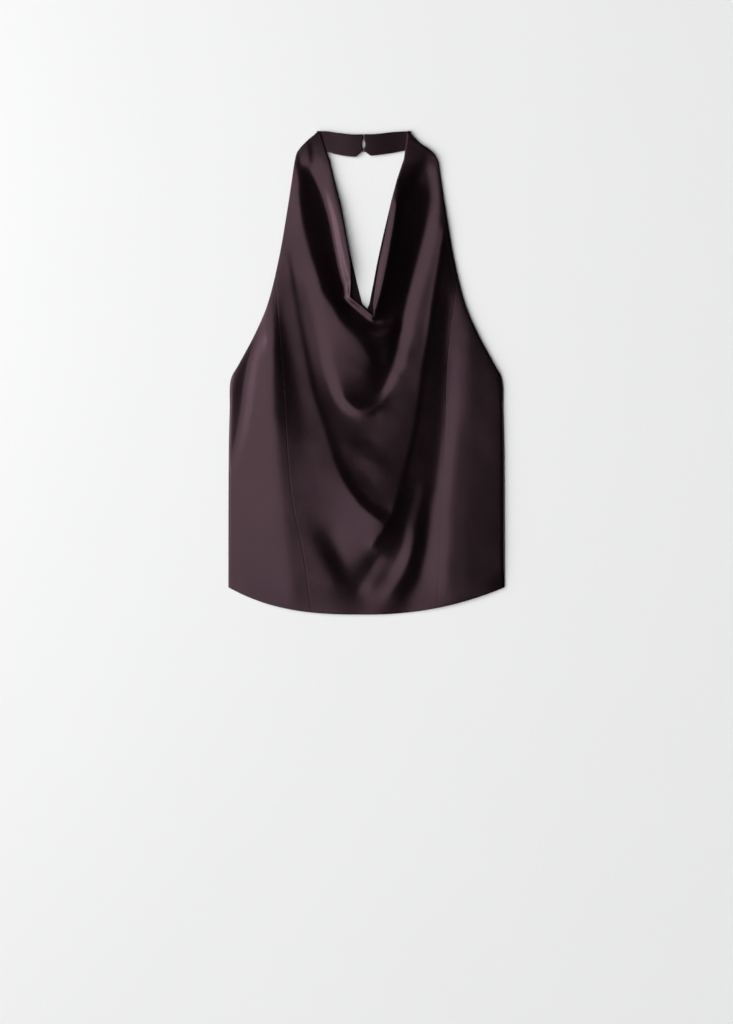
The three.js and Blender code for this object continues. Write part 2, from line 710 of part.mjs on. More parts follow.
// How far the cloth keeps an edge at each place.
function sharpness(step) {
  let kept = new Field(step);
  for (const line of LINES) {
    for (const point of smoothLine(line.points, 2 * LINE_STEPS)) {
      const index = kept.indexNear(point);
      kept.values[index] = Math.max(kept.values[index], line.sharp);
    }
  }
  for (let pass = 0; pass < 3; pass += 1) {
    const { values, columns } = kept;
    kept = changed(kept, (index) => Math.max(values[index], 0.93 * Math.max(
      values[index - 1],
      values[index + 1],
      values[index - columns],
      values[index + columns],
    )));
  }
  for (let pass = 0; pass < 4; pass += 1) {
    const last = kept;
    kept = changed(last, (index) => 0.2 * last.values[index] + 0.8 * last.meanAround(index));
  }
  return kept;
}

function roundedCloth(drawn) {
  const kept = sharpness(drawn.step);
  let field = drawn;
  for (let pass = 0; pass < ROLL_PASSES; pass += 1) {
    const last = field;
    field = changed(last, (index) => {
      const { x, y } = last.placeOf(index);
      if (beyondFront(x, y)) {
        return last.values[index];
      }
      const share = clamp((1 - kept.values[index]) * ROLL_PASSES + SHARP_PASSES - pass);
      return mix(last.values[index], last.meanAround(index), 0.8 * share);
    });
  }
  return field;
}

const DRAPE = roundedCloth(FIELD_STEPS.reduce((coarser, step) => drawnCloth(step, coarser), null));

// Underside of the front. Below the underarms its sides come down to the back, to be sewn to it.
function frontHeight(x, y) {
  const inside = outlineAt(Math.min(y, SHOULDER_Y)) - Math.abs(x);
  const height = Math.max(restHeight(x, y), DRAPE.at(x, y));
  const sewn = (1 - ease(inside / 3)) * (1 - ease((y - UNDERARM_Y) / 12));
  return mix(height, SECOND_LAYER, sewn);
}

function flat(height) {
  return () => height;
}

// Closed wall over a set of patches. A patch is a grid of places, its rows running up and its
// columns to the right, and patches that share places are joined there.
function wall(patches, height) {
  const places = [];
  const known = new Map();
  const indexOf = (place) => {
    const key = `${place.x.toFixed(3)} ${place.y.toFixed(3)}`;
    if (!known.has(key)) {
      known.set(key, places.length);
      places.push(place);
    }
    return known.get(key);
  };
  const upper = [];
  const addFace = (a, b, c) => {
    if (a !== b && b !== c && c !== a) {
      upper.push([a, b, c]);
    }
  };
  for (const patch of patches) {
    for (let row = 0; row < patch.length - 1; row += 1) {
      for (let column = 0; column < patch[row].length - 1; column += 1) {
        const a = indexOf(patch[row][column]);
        const b = indexOf(patch[row][column + 1]);
        const c = indexOf(patch[row + 1][column + 1]);
        const d = indexOf(patch[row + 1][column]);
        addFace(a, b, c);
        addFace(a, c, d);
      }
    }
  }
  const edges = new Set(upper.flatMap(([a, b, c]) => [`${a} ${b}`, `${b} ${c}`, `${c} ${a}`]));
  const count = places.length;
  const faces = [];
  for (const [a, b, c] of upper) {
    faces.push(a + count, b + count, c + count, a, c, b);
    for (const [from, to] of [[a, b], [b, c], [c, a]]) {
      if (!edges.has(`${to} ${from}`)) {
        faces.push(from, to, to + count, from, to + count, from + count);
      }
    }
  }
  const low = places.map(({ x, y }) => [x, y, height(x, y)]);
  const high = low.map(([x, y, z]) => [x, y, z + uprightWall(height, x, y)]);
  const geometry = new THREE.BufferGeometry();
  geometry.setAttribute('position', new THREE.Float32BufferAttribute([...low, ...high].flat(), 3));
  geometry.setIndex(faces);
  geometry.computeVertexNormals();
  return geometry;
}

// Upright measure of the wall where the cloth slopes, so that it keeps its thickness.
function uprightWall(height, x, y) {
  const step = 1;
  const slopeX = (height(x + step, y) - height(x - step, y)) / (2 * step);
  const slopeY = (height(x, y + step) - height(x, y - step)) / (2 * step);
  return CLOTH * Math.min(Math.hypot(1, slopeX, slopeY), STEEPEST_WALL);
}

// A row of places between two ends, bowed by an offset that a function of the share gives.
function rowBetween(from, to, columns, bow = () => ({ x: 0, y: 0 })) {
  return Array.from({ length: columns + 1 }, (_, column) => {
    const share = column / columns;
    const offset = bow(share);
    return { x: mix(from.x, to.x, share) + offset.x, y: mix(from.y, to.y, share) + offset.y };
  });
}

// Lifts a place of a level row to the curve of the hem, less and less towards the blend height.
function withHem(place) {
  const share = clamp((HEM_BLEND_Y - place.y) / (HEM_BLEND_Y - HEM_Y));
  return { x: place.x, y: place.y + hemRise(place.x) * share };
}

function bodyRow(index) {
  return mix(HEM_Y, POINT.y, index / BODY_ROWS);
}

function seamOf(side) {
  return side < 0 ? LEFT_SEAM : RIGHT_SEAM;
}

// Outer edge of the front's middle piece: the princess seam, then the armhole.
function outerEdge(side, y) {
  if (y < SEAM_TOP_Y) {
    return { x: lookUp(seamOf(side), 'y', 'x', y) - side * (SEAM_GAP / 2), y };
  }
  return { x: side * outlineAt(y), y };
}

// Rows of one half of the front's middle piece, from the hem up to the shoulder fold.
function frontHalf(side) {
  const neckline = side < 0 ? LEFT_NECKLINE : RIGHT_NECKLINE;
  const shoulder = side < 0 ? SHOULDER_LEFT : SHOULDER_RIGHT;
  const rows = [];
  const addRow = (outer, inner, bow) => {
    const ends = side < 0 ? [outer, inner] : [inner, outer];
    rows.push(rowBetween(...ends, FRONT_COLUMNS, bow));
  };
  for (let index = 0; index < BODY_ROWS; index += 1) {
    const y = bodyRow(index);
    addRow(outerEdge(side, y), { x: lookUp(MIDDLE, 'y', 'x', y), y });
    rows[index] = rows[index].map(withHem);
  }
  for (let index = 0; index <= ARM_ROWS; index += 1) {
    const share = index / ARM_ROWS;
    const innerY = mix(POINT.y, NECK_Y, share);
    const inner = { x: straightLookUp(neckline, 'y', 'x', innerY), y: innerY };
    const outer = outerEdge(side, mix(POINT.y, SHOULDER_Y, share));
    const bow = SHOULDER_BULGE * share ** SHOULDER_POWER;
    addRow(outer, inner, (along) => {
      const across = side < 0 ? 1 - along : along;
      const bulge = bow * lookUp(shoulder, 'across', 'bulge', across);
      return { x: side * bulge, y: bulge };
    });
  }
  return rows;
}

// Rows of a side piece, from the hem to its tip in the armhole.
function sideFront(side) {
  const rows = [];
  const seam = seamOf(side);
  const addRow = (y) => {
    const outer = side * outlineAt(y);
    const inner = lookUp(seam, 'y', 'x', y) + side * (SEAM_GAP / 2);
    const row = SIDE_SHARES.map((share) => withHem({ x: mix(outer, inner, share), y }));
    rows.push(side < 0 ? row : row.reverse());
  };
  for (let index = 0; index <= BODY_ROWS; index += 1) {
    addRow(bodyRow(index));
  }
  for (let index = 1; index < ARM_ROWS; index += 1) {
    const y = mix(POINT.y, SHOULDER_Y, index / ARM_ROWS);
    if (y < SEAM_TOP_Y) {
      addRow(y);
    }
  }
  return rows;
}

// The back: one low panel from the hem to the underarms, its top edge dipping in the middle.
function backRows() {
  const count = BODY_ROWS / 4;
  const backTop = (x) => UNDERARM_Y - BACK_TOP_DIP * (1 - (Math.abs(x) / HALF_BODY) ** 2);
  return Array.from({ length: count + 1 }, (_, index) => {
    const share = index / count;
    const y = mix(HEM_Y, UNDERARM_Y, share);
    const edge = outlineAt(y);
    const dip = share ** 3;
    return rowBetween({ x: -edge, y }, { x: edge, y }, BACK_COLUMNS)
      .map(withHem)
      .map((place) => ({
        x: place.x,
        y: place.y + BACK_HEM_UP * (1 - share) + (backTop(place.x) - UNDERARM_Y) * dip,
      }));
  });
}

// Facing of one side of the neckline, with the bottom stretch below the opening.
function facingHalf(side) {
  const opening = side < 0 ? LEFT_OPENING : RIGHT_OPENING;
  const rows = [];
  const addRow = (inner, outer) => {
    const ends = side < 0 ? [outer, inner] : [inner, outer];
    rows.push(rowBetween(...ends, FACING_COLUMNS));
  };
  const bottom = FACING_POINT.y - 2 * FACING_WIDTH;
  const bottomHalf = FACING_WIDTH / 2;
  addRow(
    { x: FACING_POINT.x, y: bottom },
    { x: FACING_POINT.x + side * bottomHalf, y: bottom + bottomHalf },
  );
  for (let index = 0; index <= ARM_ROWS; index += 1) {
    const y = mix(FACING_POINT.y, FACING_TOP_Y, index / ARM_ROWS);
    const x = straightLookUp(opening, 'y', 'x', y);
    addRow({ x, y }, { x: x + side * FACING_WIDTH, y });
  }
  return rows;
}

function facingHeight(x, y) {
  const opening = x < FACING_POINT.x ? LEFT_OPENING : RIGHT_OPENING;
  const across = Math.abs(x - straightLookUp(opening, 'y', 'x', y)) / FACING_WIDTH;
  const rise = ease((y - FACING_LIFT_Y) / (FACING_TOP_Y - FACING_LIFT_Y));
  return FACING_LIFT * rise * (1 - 0.7 * clamp(across));
}

// Neckband from its end at the closure to the shoulder fold.
function bandRows(side) {
  const edges = side < 0 ? BAND_LEFT : BAND_RIGHT;
  const reach = edges[edges.length - 1].out;
  return BAND_END.map(({ across, gap }) => {
    const places = Array.from({ length: BAND_COLUMNS + 1 }, (_, column) => {
      const share = column / BAND_COLUMNS;
      const out = mix(gap, reach + BAND_LEAN * (1 - across) * share, share);
      const top = lookUp(edges, 'out', 'top', out);
      const bottom = lookUp(edges, 'out', 'bottom', out);
      return { x: CLOSURE_X + side * out, y: mix(bottom, top, across) };
    });
    return side < 0 ? places.reverse() : places;
  });
}

function bandHeight(x) {
  const out = Math.abs(x - CLOSURE_X);
  const share = ease((out - LIFT_INNER) / (LIFT_OUTER - LIFT_INNER));
  return mix(CLOSURE_LIFT, SHOULDER_LIFT, share);
}

// Covered button, face down: a domed head on the surface and a shank up to the band.
function buttonGeometry() {
  const profile = BUTTON_HEAD.map(([share, z]) => new THREE.Vector2(share * BUTTON_RADIUS, z));
  profile.push(new THREE.Vector2(SHANK_RADIUS, profile[profile.length - 1].y));
  profile.push(new THREE.Vector2(SHANK_RADIUS, SHANK_TOP));
  profile.push(new THREE.Vector2(0, SHANK_TOP));
  return new THREE.LatheGeometry(profile, ROUND_SIDES).rotateX(Math.PI / 2);
}

// Thread loop, a closed ring with two straight strands, from under the left end of the band
// round the shank of a button.
function loopGeometry(length) {
  const radius = LOOP_THREAD / 2;
  const turn = SHANK_RADIUS + SEAM_GAP + radius;
  const half = (length - 2 * turn) / 2;
  const steps = 2 * (ROUND_SIDES / 2 + 1);
  const positions = [];
  const faces = [];
  for (let step = 0; step < steps; step += 1) {
    const angle = ((step + 0.5) / steps) * Math.PI * 2;
    const side = Math.sign(Math.cos(angle));
    for (let corner = 0; corner < THREAD_SIDES; corner += 1) {
      const section = (corner / THREAD_SIDES) * Math.PI * 2;
      const reach = turn + radius * Math.cos(section);
      positions.push(side * half + reach * Math.cos(angle));
      positions.push(reach * Math.sin(angle));
      positions.push(radius * Math.sin(section));
      const next = (corner + 1) % THREAD_SIDES;
      const a = step * THREAD_SIDES + corner;
      const b = step * THREAD_SIDES + next;
      const c = ((step + 1) % steps) * THREAD_SIDES + next;
      const d = ((step + 1) % steps) * THREAD_SIDES + corner;
      faces.push(a, d, c, a, c, b);
    }
  }
  const geometry = new THREE.BufferGeometry();
  geometry.setAttribute('position', new THREE.Float32BufferAttribute(positions, 3));
  geometry.setIndex(faces);
  geometry.computeVertexNormals();
  return geometry;
}

function piece(name, geometry, color, roughness) {
  const material = new THREE.MeshStandardMaterial({ color, roughness, metalness: 0 });
  const mesh = new THREE.Mesh(geometry, material);
  mesh.name = name;
  return mesh;
}

const top = new THREE.Group();
top.add(piece('back', wall([backRows()], flat(0)), SATIN, 0.4));
top.add(piece('front_center', wall([frontHalf(-1), frontHalf(1)], frontHeight), SATIN, 0.4));
for (const [side, word] of [[-1, 'left'], [1, 'right']]) {
  top.add(piece(`side_front_${word}`, wall([sideFront(side)], frontHeight), SATIN, 0.4));
  top.add(piece(`neckband_${word}`, wall([bandRows(side)], bandHeight), SATIN, 0.4));
}
top.add(piece('neck_facing', wall([facingHalf(-1), facingHalf(1)], facingHeight), INNER_SATIN, 0.5));

for (const { name, y } of CLOSURES) {
  const button = piece(`button_${name}`, buttonGeometry(), SATIN, 0.4);
  button.position.set(CLOSURE_X + BUTTON_OFFSET, y, 0);
  top.add(button);
  const loopEnd = BUTTON_OFFSET + SHANK_RADIUS + SEAM_GAP + LOOP_THREAD;
  const loopLength = LOOP_TUCK + loopEnd;
  const loop = piece(`loop_${name}`, loopGeometry(loopLength), THREAD, 0.8);
  loop.position.set(CLOSURE_X + loopEnd - loopLength / 2, y, SHANK_TOP - LOOP_THREAD / 2);
  top.add(loop);
}

export default top;
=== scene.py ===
"""Halter top with a cowl neck, laid flat with its front up.

Every number about the garment is in millimetres: X across, Y from the hem to the neck, Z up.
"""

import math
from collections import namedtuple

import bpy
import numpy as np
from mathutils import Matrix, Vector


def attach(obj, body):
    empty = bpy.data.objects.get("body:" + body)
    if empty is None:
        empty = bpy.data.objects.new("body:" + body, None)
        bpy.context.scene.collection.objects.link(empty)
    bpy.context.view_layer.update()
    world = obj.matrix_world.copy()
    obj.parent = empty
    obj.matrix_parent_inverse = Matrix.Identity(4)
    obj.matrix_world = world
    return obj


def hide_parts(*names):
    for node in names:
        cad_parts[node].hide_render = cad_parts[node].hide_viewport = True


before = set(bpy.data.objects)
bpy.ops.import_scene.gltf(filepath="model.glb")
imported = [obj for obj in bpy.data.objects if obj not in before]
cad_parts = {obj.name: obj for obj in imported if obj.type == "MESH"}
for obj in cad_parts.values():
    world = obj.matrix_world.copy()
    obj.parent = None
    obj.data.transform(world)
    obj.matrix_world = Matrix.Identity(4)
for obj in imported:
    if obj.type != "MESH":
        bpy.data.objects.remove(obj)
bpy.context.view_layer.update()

bl_info = {
    "name": "Cowl neck top",
    "version": (1, 0, 0),
    "blender": (4, 5, 0),
    "location": "View3D > Sidebar > Cowl top",
    "description": "Builds a satin cowl neck top laid flat, with its stage",
    "category": "Add Mesh",
}

MM = 0.001
BODY = "root"
SIDES = ((-1, "left"), (1, "right"))

# ---------------------------------------------------------------- outline of the garment

HEM_Y = -350
HEM_RISE = 39.5  # how far the hem curves up to the side seams
HEM_POWER_LEFT = 2.8
HEM_POWER_RIGHT = 2.12
HEM_BLEND_Y = -200  # rows above this are level
HALF_BODY = 200
UNDERARM_Y = -10
BACK_HEM_UP = 1.5  # the back stays this far inside the front's hem
BACK_TOP_DIP = 34  # its upper edge dips this far below the underarms
BACK_INSET = 0.3
SEAM_TOP_Y = 138  # where the princess seams run into the armholes
POINT = (10.5, 81)  # lowest point of the neckline
CORNER_Y = 109  # corner of its left edge, just above the point
NECK_Y = 350
SHOULDER_Y = 306
# How far the shoulder swells beyond its chord, along the chord from the arm to the neck. The
# straps take up the last part of it, more and more towards the shoulder.
SHOULDER_BULGE = 0.72
SHOULDER_POWER = 6
SHOULDER_SLANT = 40  # how much nearer the middle the outline comes from the shoulder to the neck
SHOULDER_LEFT = ((0, 0), (0.22, 5.8), (0.63, 5.1), (0.9, 1.8), (1, 0))
SHOULDER_RIGHT = ((0, 0), (0.26, 3.9), (0.75, -1.5), (1, 0))
SEAM_GAP = 0.3
PRESSED_GAP = 0.08  # between the panels at a pressed seam

# Height along the garment, then distance from the middle or place across.
OUTLINE = ((HEM_Y, HALF_BODY), (-120, 199.5), (-50, 198), (UNDERARM_Y, 196.5), (12, 185),
           (55, 162), (99, 143), (164, 127), (230, 115.5), (SHOULDER_Y, 104))
LEFT_SEAM = ((HEM_Y, -80), (-267, -91), (-170, -109), (4, -121), (SEAM_TOP_Y, -132))
RIGHT_SEAM = ((HEM_Y, 102), (-219, 107), (-74, 114), (25, 118), (SEAM_TOP_Y, 132))
# Line down the middle piece where the grids of its two halves meet.
MIDDLE = ((HEM_Y, 6), (-100, 8), (81, 10.5))
LEFT_NECKLINE = ((81, 10.5), (109, -24), (130, -22.5), (160, -23), (190, -28), (220, -33.5),
                 (250, -39.5), (280, -47.5), (310, -55), (350, -67))
RIGHT_NECKLINE = ((81, 10.5), (100, 10), (130, 14), (160, 19), (190, 25.5), (220, 31.5),
                  (250, 36.5), (280, 45), (304, 53.5), (350, 60))

FACING_WIDTH = 17
FACING_TOP_Y = 311
FACING_LIFT = 3.8  # its upper ends rise this far towards the neckband
FACING_LIFT_Y = 258  # from here on
FACING_POINT = (1, 93)
FACING_MIDDLE = 0.6
FACING_HALF_WALL = 0.54
FACING_TILT = 0.7  # share of the lift that its outer edge lacks
FACING_FOOT_ROWS = 11
EDGE_ROUNDING = 0.9
# Inner edge of the facing: height along the garment, then place across.
LEFT_OPENING = ((93, 1), (101, -6.5), (130, -14), (160, -20.5), (190, -27.5), (220, -32.5),
                (250, -38.5), (280, -46.5), (311, -54))
RIGHT_OPENING = ((93, 1), (100, 4), (130, 10), (160, 15.5), (190, 22), (220, 29), (250, 36),
                 (280, 44), (311, 54.5))

CLOSURE_X = -4.5
CLOSURE_LIFT = 3.8  # the neckband's underside lies this high at the closure
SHOULDER_LIFT = 3  # and this high at the shoulders
LIFT_INNER = 8
LIFT_OUTER = 62
BAND_REACH = 66  # length of the upper edge of each half of the neckband
BAND_LEAN = 26  # how much further its lower edge runs under the shoulder
# Edges of the neckband: distance from the closure, then height along the garment.
BAND_LEFT_TOP = ((0, 345.5), (18, 345.5), (40, 348), (53, 350), (66, 350))
BAND_LEFT_BOTTOM = ((0, 313), (18, 313), (40, 316.5), (53, 320.5), (66, 324.5))
BAND_RIGHT_TOP = ((0, 345.5), (18, 346), (40, 348.5), (53, 349.5), (66, 350))
BAND_RIGHT_BOTTOM = ((0, 313), (18, 315), (40, 318), (53, 320.5), (66, 323))
# Half the gap at the closure, along the end of the band from its lower corner to its upper one.
BAND_END = ((0, 10.5), (0.2, 3), (0.26, 0.4), (0.36, 0.4), (0.44, 2.2), (0.58, 2.6), (0.76, 0.9),
            (0.82, 0.4), (1, 0.4))

CLOSURES = (("upper", 340.6), ("lower", 322.6))  # heights of the buttons and their loops
BUTTON_OFFSET = 9
BUTTON_RADIUS = 3.6
SHANK_RADIUS = 1.2
LOOP_THREAD = 1
LOOP_TUCK = 4  # how far the loops run under the other half of the band
STITCH_INSET = 5
STITCH_SEAM_GAP = 2  # from a seam to the nearest hem stitch
STITCH_ROW = 130  # points of the line that a hem's stitches follow

# ---------------------------------------------------------------- folds of the front

# A line of cloth whose height is known: the crest or the foot of a fold, walked point by point.
# sharp runs from 0, where the cloth rolls softly over it, to 1, where it keeps its edge.
Line = namedtuple("Line", "name sharp points")
LINES = (
    Line("left edge", 0.5, (
        (-198, -290, 3.2), (-198.5, -200, 3.2), (-198.5, -130, 2.8), (-197, -90, 3),
        (-196, -40, 3.4), (-191, -8, 3.4), (-184, 13, 3.2), (-175, 30, 3), (-165, 50, 2.8),
        (-156, 70, 3.8), (-148, 88, 5.4), (-142, 104, 6.6), (-135, 130, 6.3), (-128, 160, 5.7),
        (-122.5, 190, 4.6), (-117.5, 220, 3), (-113, 250, 1.9), (-109, 280, 1.9), (-105, 303, 5),
        (-100, 319, 5.6), (-84, 337, 5.2), (-70, 348, 4.9))),
    Line("right edge", 0.5, (
        (197.5, -285, 4.6), (198.5, -220, 4.9), (198.5, -120, 4.8), (197.5, -60, 4.6),
        (192, -8, 4.4), (178, 24, 4.3), (164, 50, 4.4), (152, 77, 4.3), (143, 100, 4),
        (134, 132, 3.4), (127, 162, 2.8), (121.5, 190, 3.4), (116.5, 220, 4.4), (112, 250, 3.6),
        (108, 280, 3.2), (104, 303, 3.8), (95, 319, 4.7), (82, 328, 4.7), (70, 338, 4.8),
        (61, 348, 4.8))),
    Line("crease foot", 0.8, (
        (-199, -140, 2), (-188, -96, 2), (-181, -60, 2), (-177, -30, 2), (-173, 0, 1.9),
        (-168, 25, 1.7), (-160, 51, 1.7))),
    Line("crease top", 0.7, (
        (-192, -150, 4.6), (-183, -130, 5.6), (-172, -95, 6.8), (-165, -60, 7.4),
        (-161, -30, 7.4), (-158, 0, 7), (-154, 25, 6.4), (-148, 50, 5.4))),
    Line("left panel top", 0.1, (
        (-141, 100, 8.4), (-139, 75, 9.4), (-138, 50, 10.2), (-137, 25, 10.8), (-136, 0, 11.2),
        (-136, -30, 11.8), (-135, -60, 12.2), (-132, -95, 12.3), (-130, -130, 12),
        (-127, -160, 11.6), (-123, -190, 11), (-119, -220, 10.2), (-116, -250, 9.5),
        (-112, -280, 8.6), (-109, -310, 7.3), (-108, -328, 6.2))),
    Line("left low fall", 0.1, (
        (-80, -240, 9.2), (-62, -272, 8.1), (-44, -305, 6.9))),
    Line("terrace", 0.1, (
        (-128, 100, 7.6), (-121, 75, 7.4), (-118, 50, 7.2), (-112, 25, 7.2), (-106, 0, 7.4),
        (-100, -30, 8), (-94, -60, 9.1), (-88, -95, 10.2), (-88, -130, 10.8), (-87, -160, 10.9),
        (-80, -190, 10.2), (-69, -220, 8.7), (-46, -250, 5.9), (-36, -276, 4.8),
        (-26, -296, 4.4), (-18, -312, 3.6))),
    Line("left outer trough", 0.2, (
        (-128, 130, 5.9), (-120, 160, 5.7))),
    Line("second left", 0.95, (
        (-114, 170, 6.2), (-109, 140, 6.7), (-103, 100, 7.8), (-98, 75, 7.6), (-93, 50, 7.4),
        (-88, 25, 7.4), (-83, 0, 7.6), (-77, -30, 8.2), (-67, -60, 9.2), (-56, -95, 10.2),
        (-45, -130, 10.8), (-31, -160, 11.4), (-20, -176, 11.6), (-10, -190, 11.7),
        (6, -204, 11.7), (22, -216, 11.6))),
    Line("second left foot", 0.6, (
        (-110, 168, 6), (-104, 140, 6.2), (-98, 100, 7.5), (-93, 75, 7.1), (-88, 50, 6.8),
        (-83, 25, 6.7), (-77, 0, 6.8), (-69, -30, 7.3), (-58, -60, 8.2), (-45, -95, 9),
        (-33, -130, 9.2), (-18, -158, 9.4), (-6, -174, 9.4), (7, -188, 9.4), (24, -198, 8.9),
        (36, -205, 8.6))),
    Line("main outer foot", 0.7, (
        (-87, 134, 7.4), (-79, 100, 8), (-73, 75, 7.5), (-68, 50, 7.1), (-64, 25, 6.8),
        (-58, 0, 6.6), (-47, -30, 6.5), (-39, -46, 6.6), (-27, -59, 7), (-12, -67, 7),
        (4, -66, 6.7), (16, -60, 6.5))),
    Line("main crest", 0.6, (
        (-102.5, 296, 4.6), (-101, 280, 4.8), (-100, 262, 5.9), (-97, 240, 7), (-93, 216, 7.8),
        (-86, 190, 8.4), (-77, 160, 9.2), (-67, 130, 9.9), (-64, 100, 10.6), (-61, 75, 10.2),
        (-57, 50, 9.6), (-53, 25, 9.5), (-47, 0, 9.5), (-39, -28, 9.6), (-28, -44, 9.5),
        (-11, -55, 9.2), (4, -55, 8.8), (18, -47, 7.9), (30, -37, 6.8), (38, -24, 6.6),
        (46, -8, 6.7), (52, 4, 6.8), (57, 25, 6.8), (63, 50, 6), (68, 75, 6), (74, 100, 5.8),
        (82, 130, 5.6), (92, 160, 5.8), (98, 190, 5.2), (103, 220, 4.6), (106, 250, 3.8),
        (104.5, 280, 3.5), (102, 300, 4.1))),
    Line("crest lip", 0.9, (
        (-34, -36, 9.5), (-28, -44, 9.5), (-11, -55, 9.4), (4, -55, 9), (18, -47, 8),
        (30, -37, 7))),
    Line("right lip", 0.7, (
        (4, -54, 9), (13, -47.5, 8.3), (21, -39.5, 7.7), (29, -29, 7.2), (37, -15, 7),
        (44, 1, 7))),
    Line("hollow floor right", 0.4, (
        (-29, -30, 8.8), (-14, -38, 7.4), (2, -41, 6), (14, -37, 4.6), (23, -28, 3.4),
        (31, -14, 3.2), (38, 2, 3.4), (40.5, 25, 3.4), (47, 50, 1.8), (52, 75, 1.6),
        (58, 100, 1.6), (64, 130, 1.6), (72, 160, 1.6), (80, 190, 1.6), (88, 220, 1.6),
        (93, 250, 1.7), (92, 280, 1.6))),
    Line("inner edge", 0.5, (
        (-58, 112, 11), (-48, 98, 11.6), (-37, 76, 11.8), (-24, 62, 11.6), (-12, 50, 11.2),
        (4, 25, 10.2), (10, 14, 9.4))),
    Line("inner plateau", 0.2, (
        (-30, 14, 9.9), (-14, 4, 9.9), (0, 0, 9.5), (9, 2, 8.8))),
    Line("left roll foot", 0.7, (
        (-82, 296, 2.2), (-75, 281, 1.7), (-59, 250, 1.6), (-50, 220, 1.6), (-43, 190, 1.6),
        (-37, 160, 1.7), (-30, 130, 1.9), (-28, 112, 2.2))),
    Line("point edge foot", 0.95, (
        (-27, 104.5, 3.6), (-16, 96, 5.2), (-3, 85.5, 6), (7, 76.5, 5.7), (15, 76, 5.4))),
    Line("hollow ridge", 0.8, (
        (0, 59, 8.4), (10, 60, 7.9), (24, 62, 7.6), (37, 66, 7.2), (44, 70, 5.8))),
    Line("hollow ridge low", 0.8, (
        (5, 54, 8.1), (20, 56, 7.8), (35, 60, 7.4))),
    Line("hollow ridge above", 0.6, (
        (4, 67, 6.6), (14, 69, 5.4), (26, 72, 4.6), (37, 77, 3.8))),
    Line("hollow small ridge", 0.6, (
        (29, 12, 6.1), (33.5, 25, 6.2), (37, 39, 5.6))),
    Line("hollow small step", 0.3, (
        (13, 10, 7.8), (18, 25, 6.8), (19, 40, 7))),
    Line("left roll", 0.6, (
        (-55, 284, 5.8), (-53.5, 272, 6.2), (-50, 250, 7.7), (-43, 220, 9.2), (-39, 190, 10.2),
        (-33, 160, 11.3), (-27, 135, 12.6))),
    Line("right strip in", 0.6, (
        (14, 92, 14.6), (16, 100, 15), (21, 130, 15.2), (27, 160, 14.8), (32, 190, 13.8),
        (37, 220, 12.6), (42, 248, 11), (49, 270, 8.6))),
    Line("right neck lip", 0.9, (
        (13.5, 106, 11.3), (16, 130, 11.1), (21, 160, 10.9), (27.5, 190, 10.1), (33.5, 220, 9.1),
        (38.5, 246, 8.2))),
    Line("right strip out", 0.9, (
        (17, 92, 14.5), (19, 102, 14.9), (26.5, 130, 15.1), (33, 160, 14.7), (38.5, 190, 13.7),
        (43.5, 220, 12.4), (47.5, 246, 10.8))),
    Line("right strip foot", 0.8, (
        (21, 90, 8.2), (23, 102, 9.2), (31, 130, 10), (37.5, 160, 10), (43, 190, 9.4),
        (47.5, 220, 8.2), (51, 246, 6.8))),
    Line("right strap fall", 0.3, (
        (79, 314, 5.3), (70, 302, 5.3), (63, 290, 5.6), (59, 281, 5.9), (61, 268, 4.8))),
    Line("right hollow ridge", 0.4, (
        (84, 298, 2.6), (83, 282, 2.4), (81, 266, 2.6))),
    Line("left hollow step", 0.4, (
        (-88, 296, 2.6), (-87, 282, 3.2), (-84, 262, 3.9), (-82, 244, 4.2))),
    Line("right strap hollow", 0.5, (
        (86, 318, 4.7), (87, 308, 4.2), (90, 292, 2.2), (91, 280, 1.6))),
    Line("right hollow floor", 0.4, (
        (80, 296, 3), (75, 284, 1.9), (72, 274, 1.7))),
    Line("left tuck trough", 0.85, (
        (-97.5, 320, 4.8), (-96.5, 310, 4.4), (-96, 299, 3))),
    Line("left tuck ridge", 0.85, (
        (-93, 325, 5.4), (-91.5, 311, 5.4), (-90, 301, 4))),
    Line("left tuck foot", 0.85, (
        (-90, 327, 5), (-88.5, 312, 4.9), (-87, 302, 3.6))),
    Line("left second tuck", 0.85, (
        (-86, 332, 5.5), (-84, 314, 5.8), (-82, 302, 4.9))),
    Line("left second foot", 0.85, (
        (-81, 334, 4.9), (-80, 314, 4.9), (-78, 301, 3.8))),
    Line("left shoulder top", 0.4, (
        (-73, 328, 5.1), (-71, 314, 5.3), (-62, 306, 5.9))),
    Line("second right", 0.95, (
        (8, -250, 9), (18, -236, 10.2), (28, -221, 11), (41, -193, 8.6), (50, -162, 6.9),
        (57, -131, 6.2), (66, -96, 5.7), (72.5, -60, 5.6), (77, -30, 6), (80.5, 0, 6.7),
        (84.5, 25, 7), (88.5, 50, 6.6), (92, 75, 6.8), (95.5, 100, 6.8), (100.5, 130, 6.7),
        (105.5, 160, 6.7), (110.5, 190, 6.2), (114, 210, 5.6))),
    Line("second right inner", 0.8, (
        (79, 25, 6.7), (83, 50, 6), (86.5, 75, 6.05), (90, 100, 5.95), (95, 130, 5.8),
        (100, 160, 5.8), (105, 190, 5.35), (108.5, 212, 5))),
    Line("second right foot", 0.9, (
        (16, -262, 6.2), (26, -246, 7.4), (36, -226, 8.4), (47, -199, 7), (56, -164, 5.6),
        (62.5, -131, 4.9), (71, -96, 4.6), (77, -60, 4.5), (81.5, -30, 4.9), (84.5, 0, 5.6),
        (88.5, 25, 5.8), (92.5, 50, 5.4), (96, 75, 5.5), (99.5, 100, 5.4), (104.5, 130, 5.2),
        (109.5, 160, 5.1), (114, 190, 4.6))),
    Line("band foot", 0.2, (
        (121, 110, 3.1), (117, 75, 2.7), (116.5, 25, 2.5), (115.5, -30, 2), (114, -62, 1.9),
        (111.5, -95, 1.8), (106, -130, 2), (102, -160, 2.2), (92, -190, 2.4), (89, -220, 2.4),
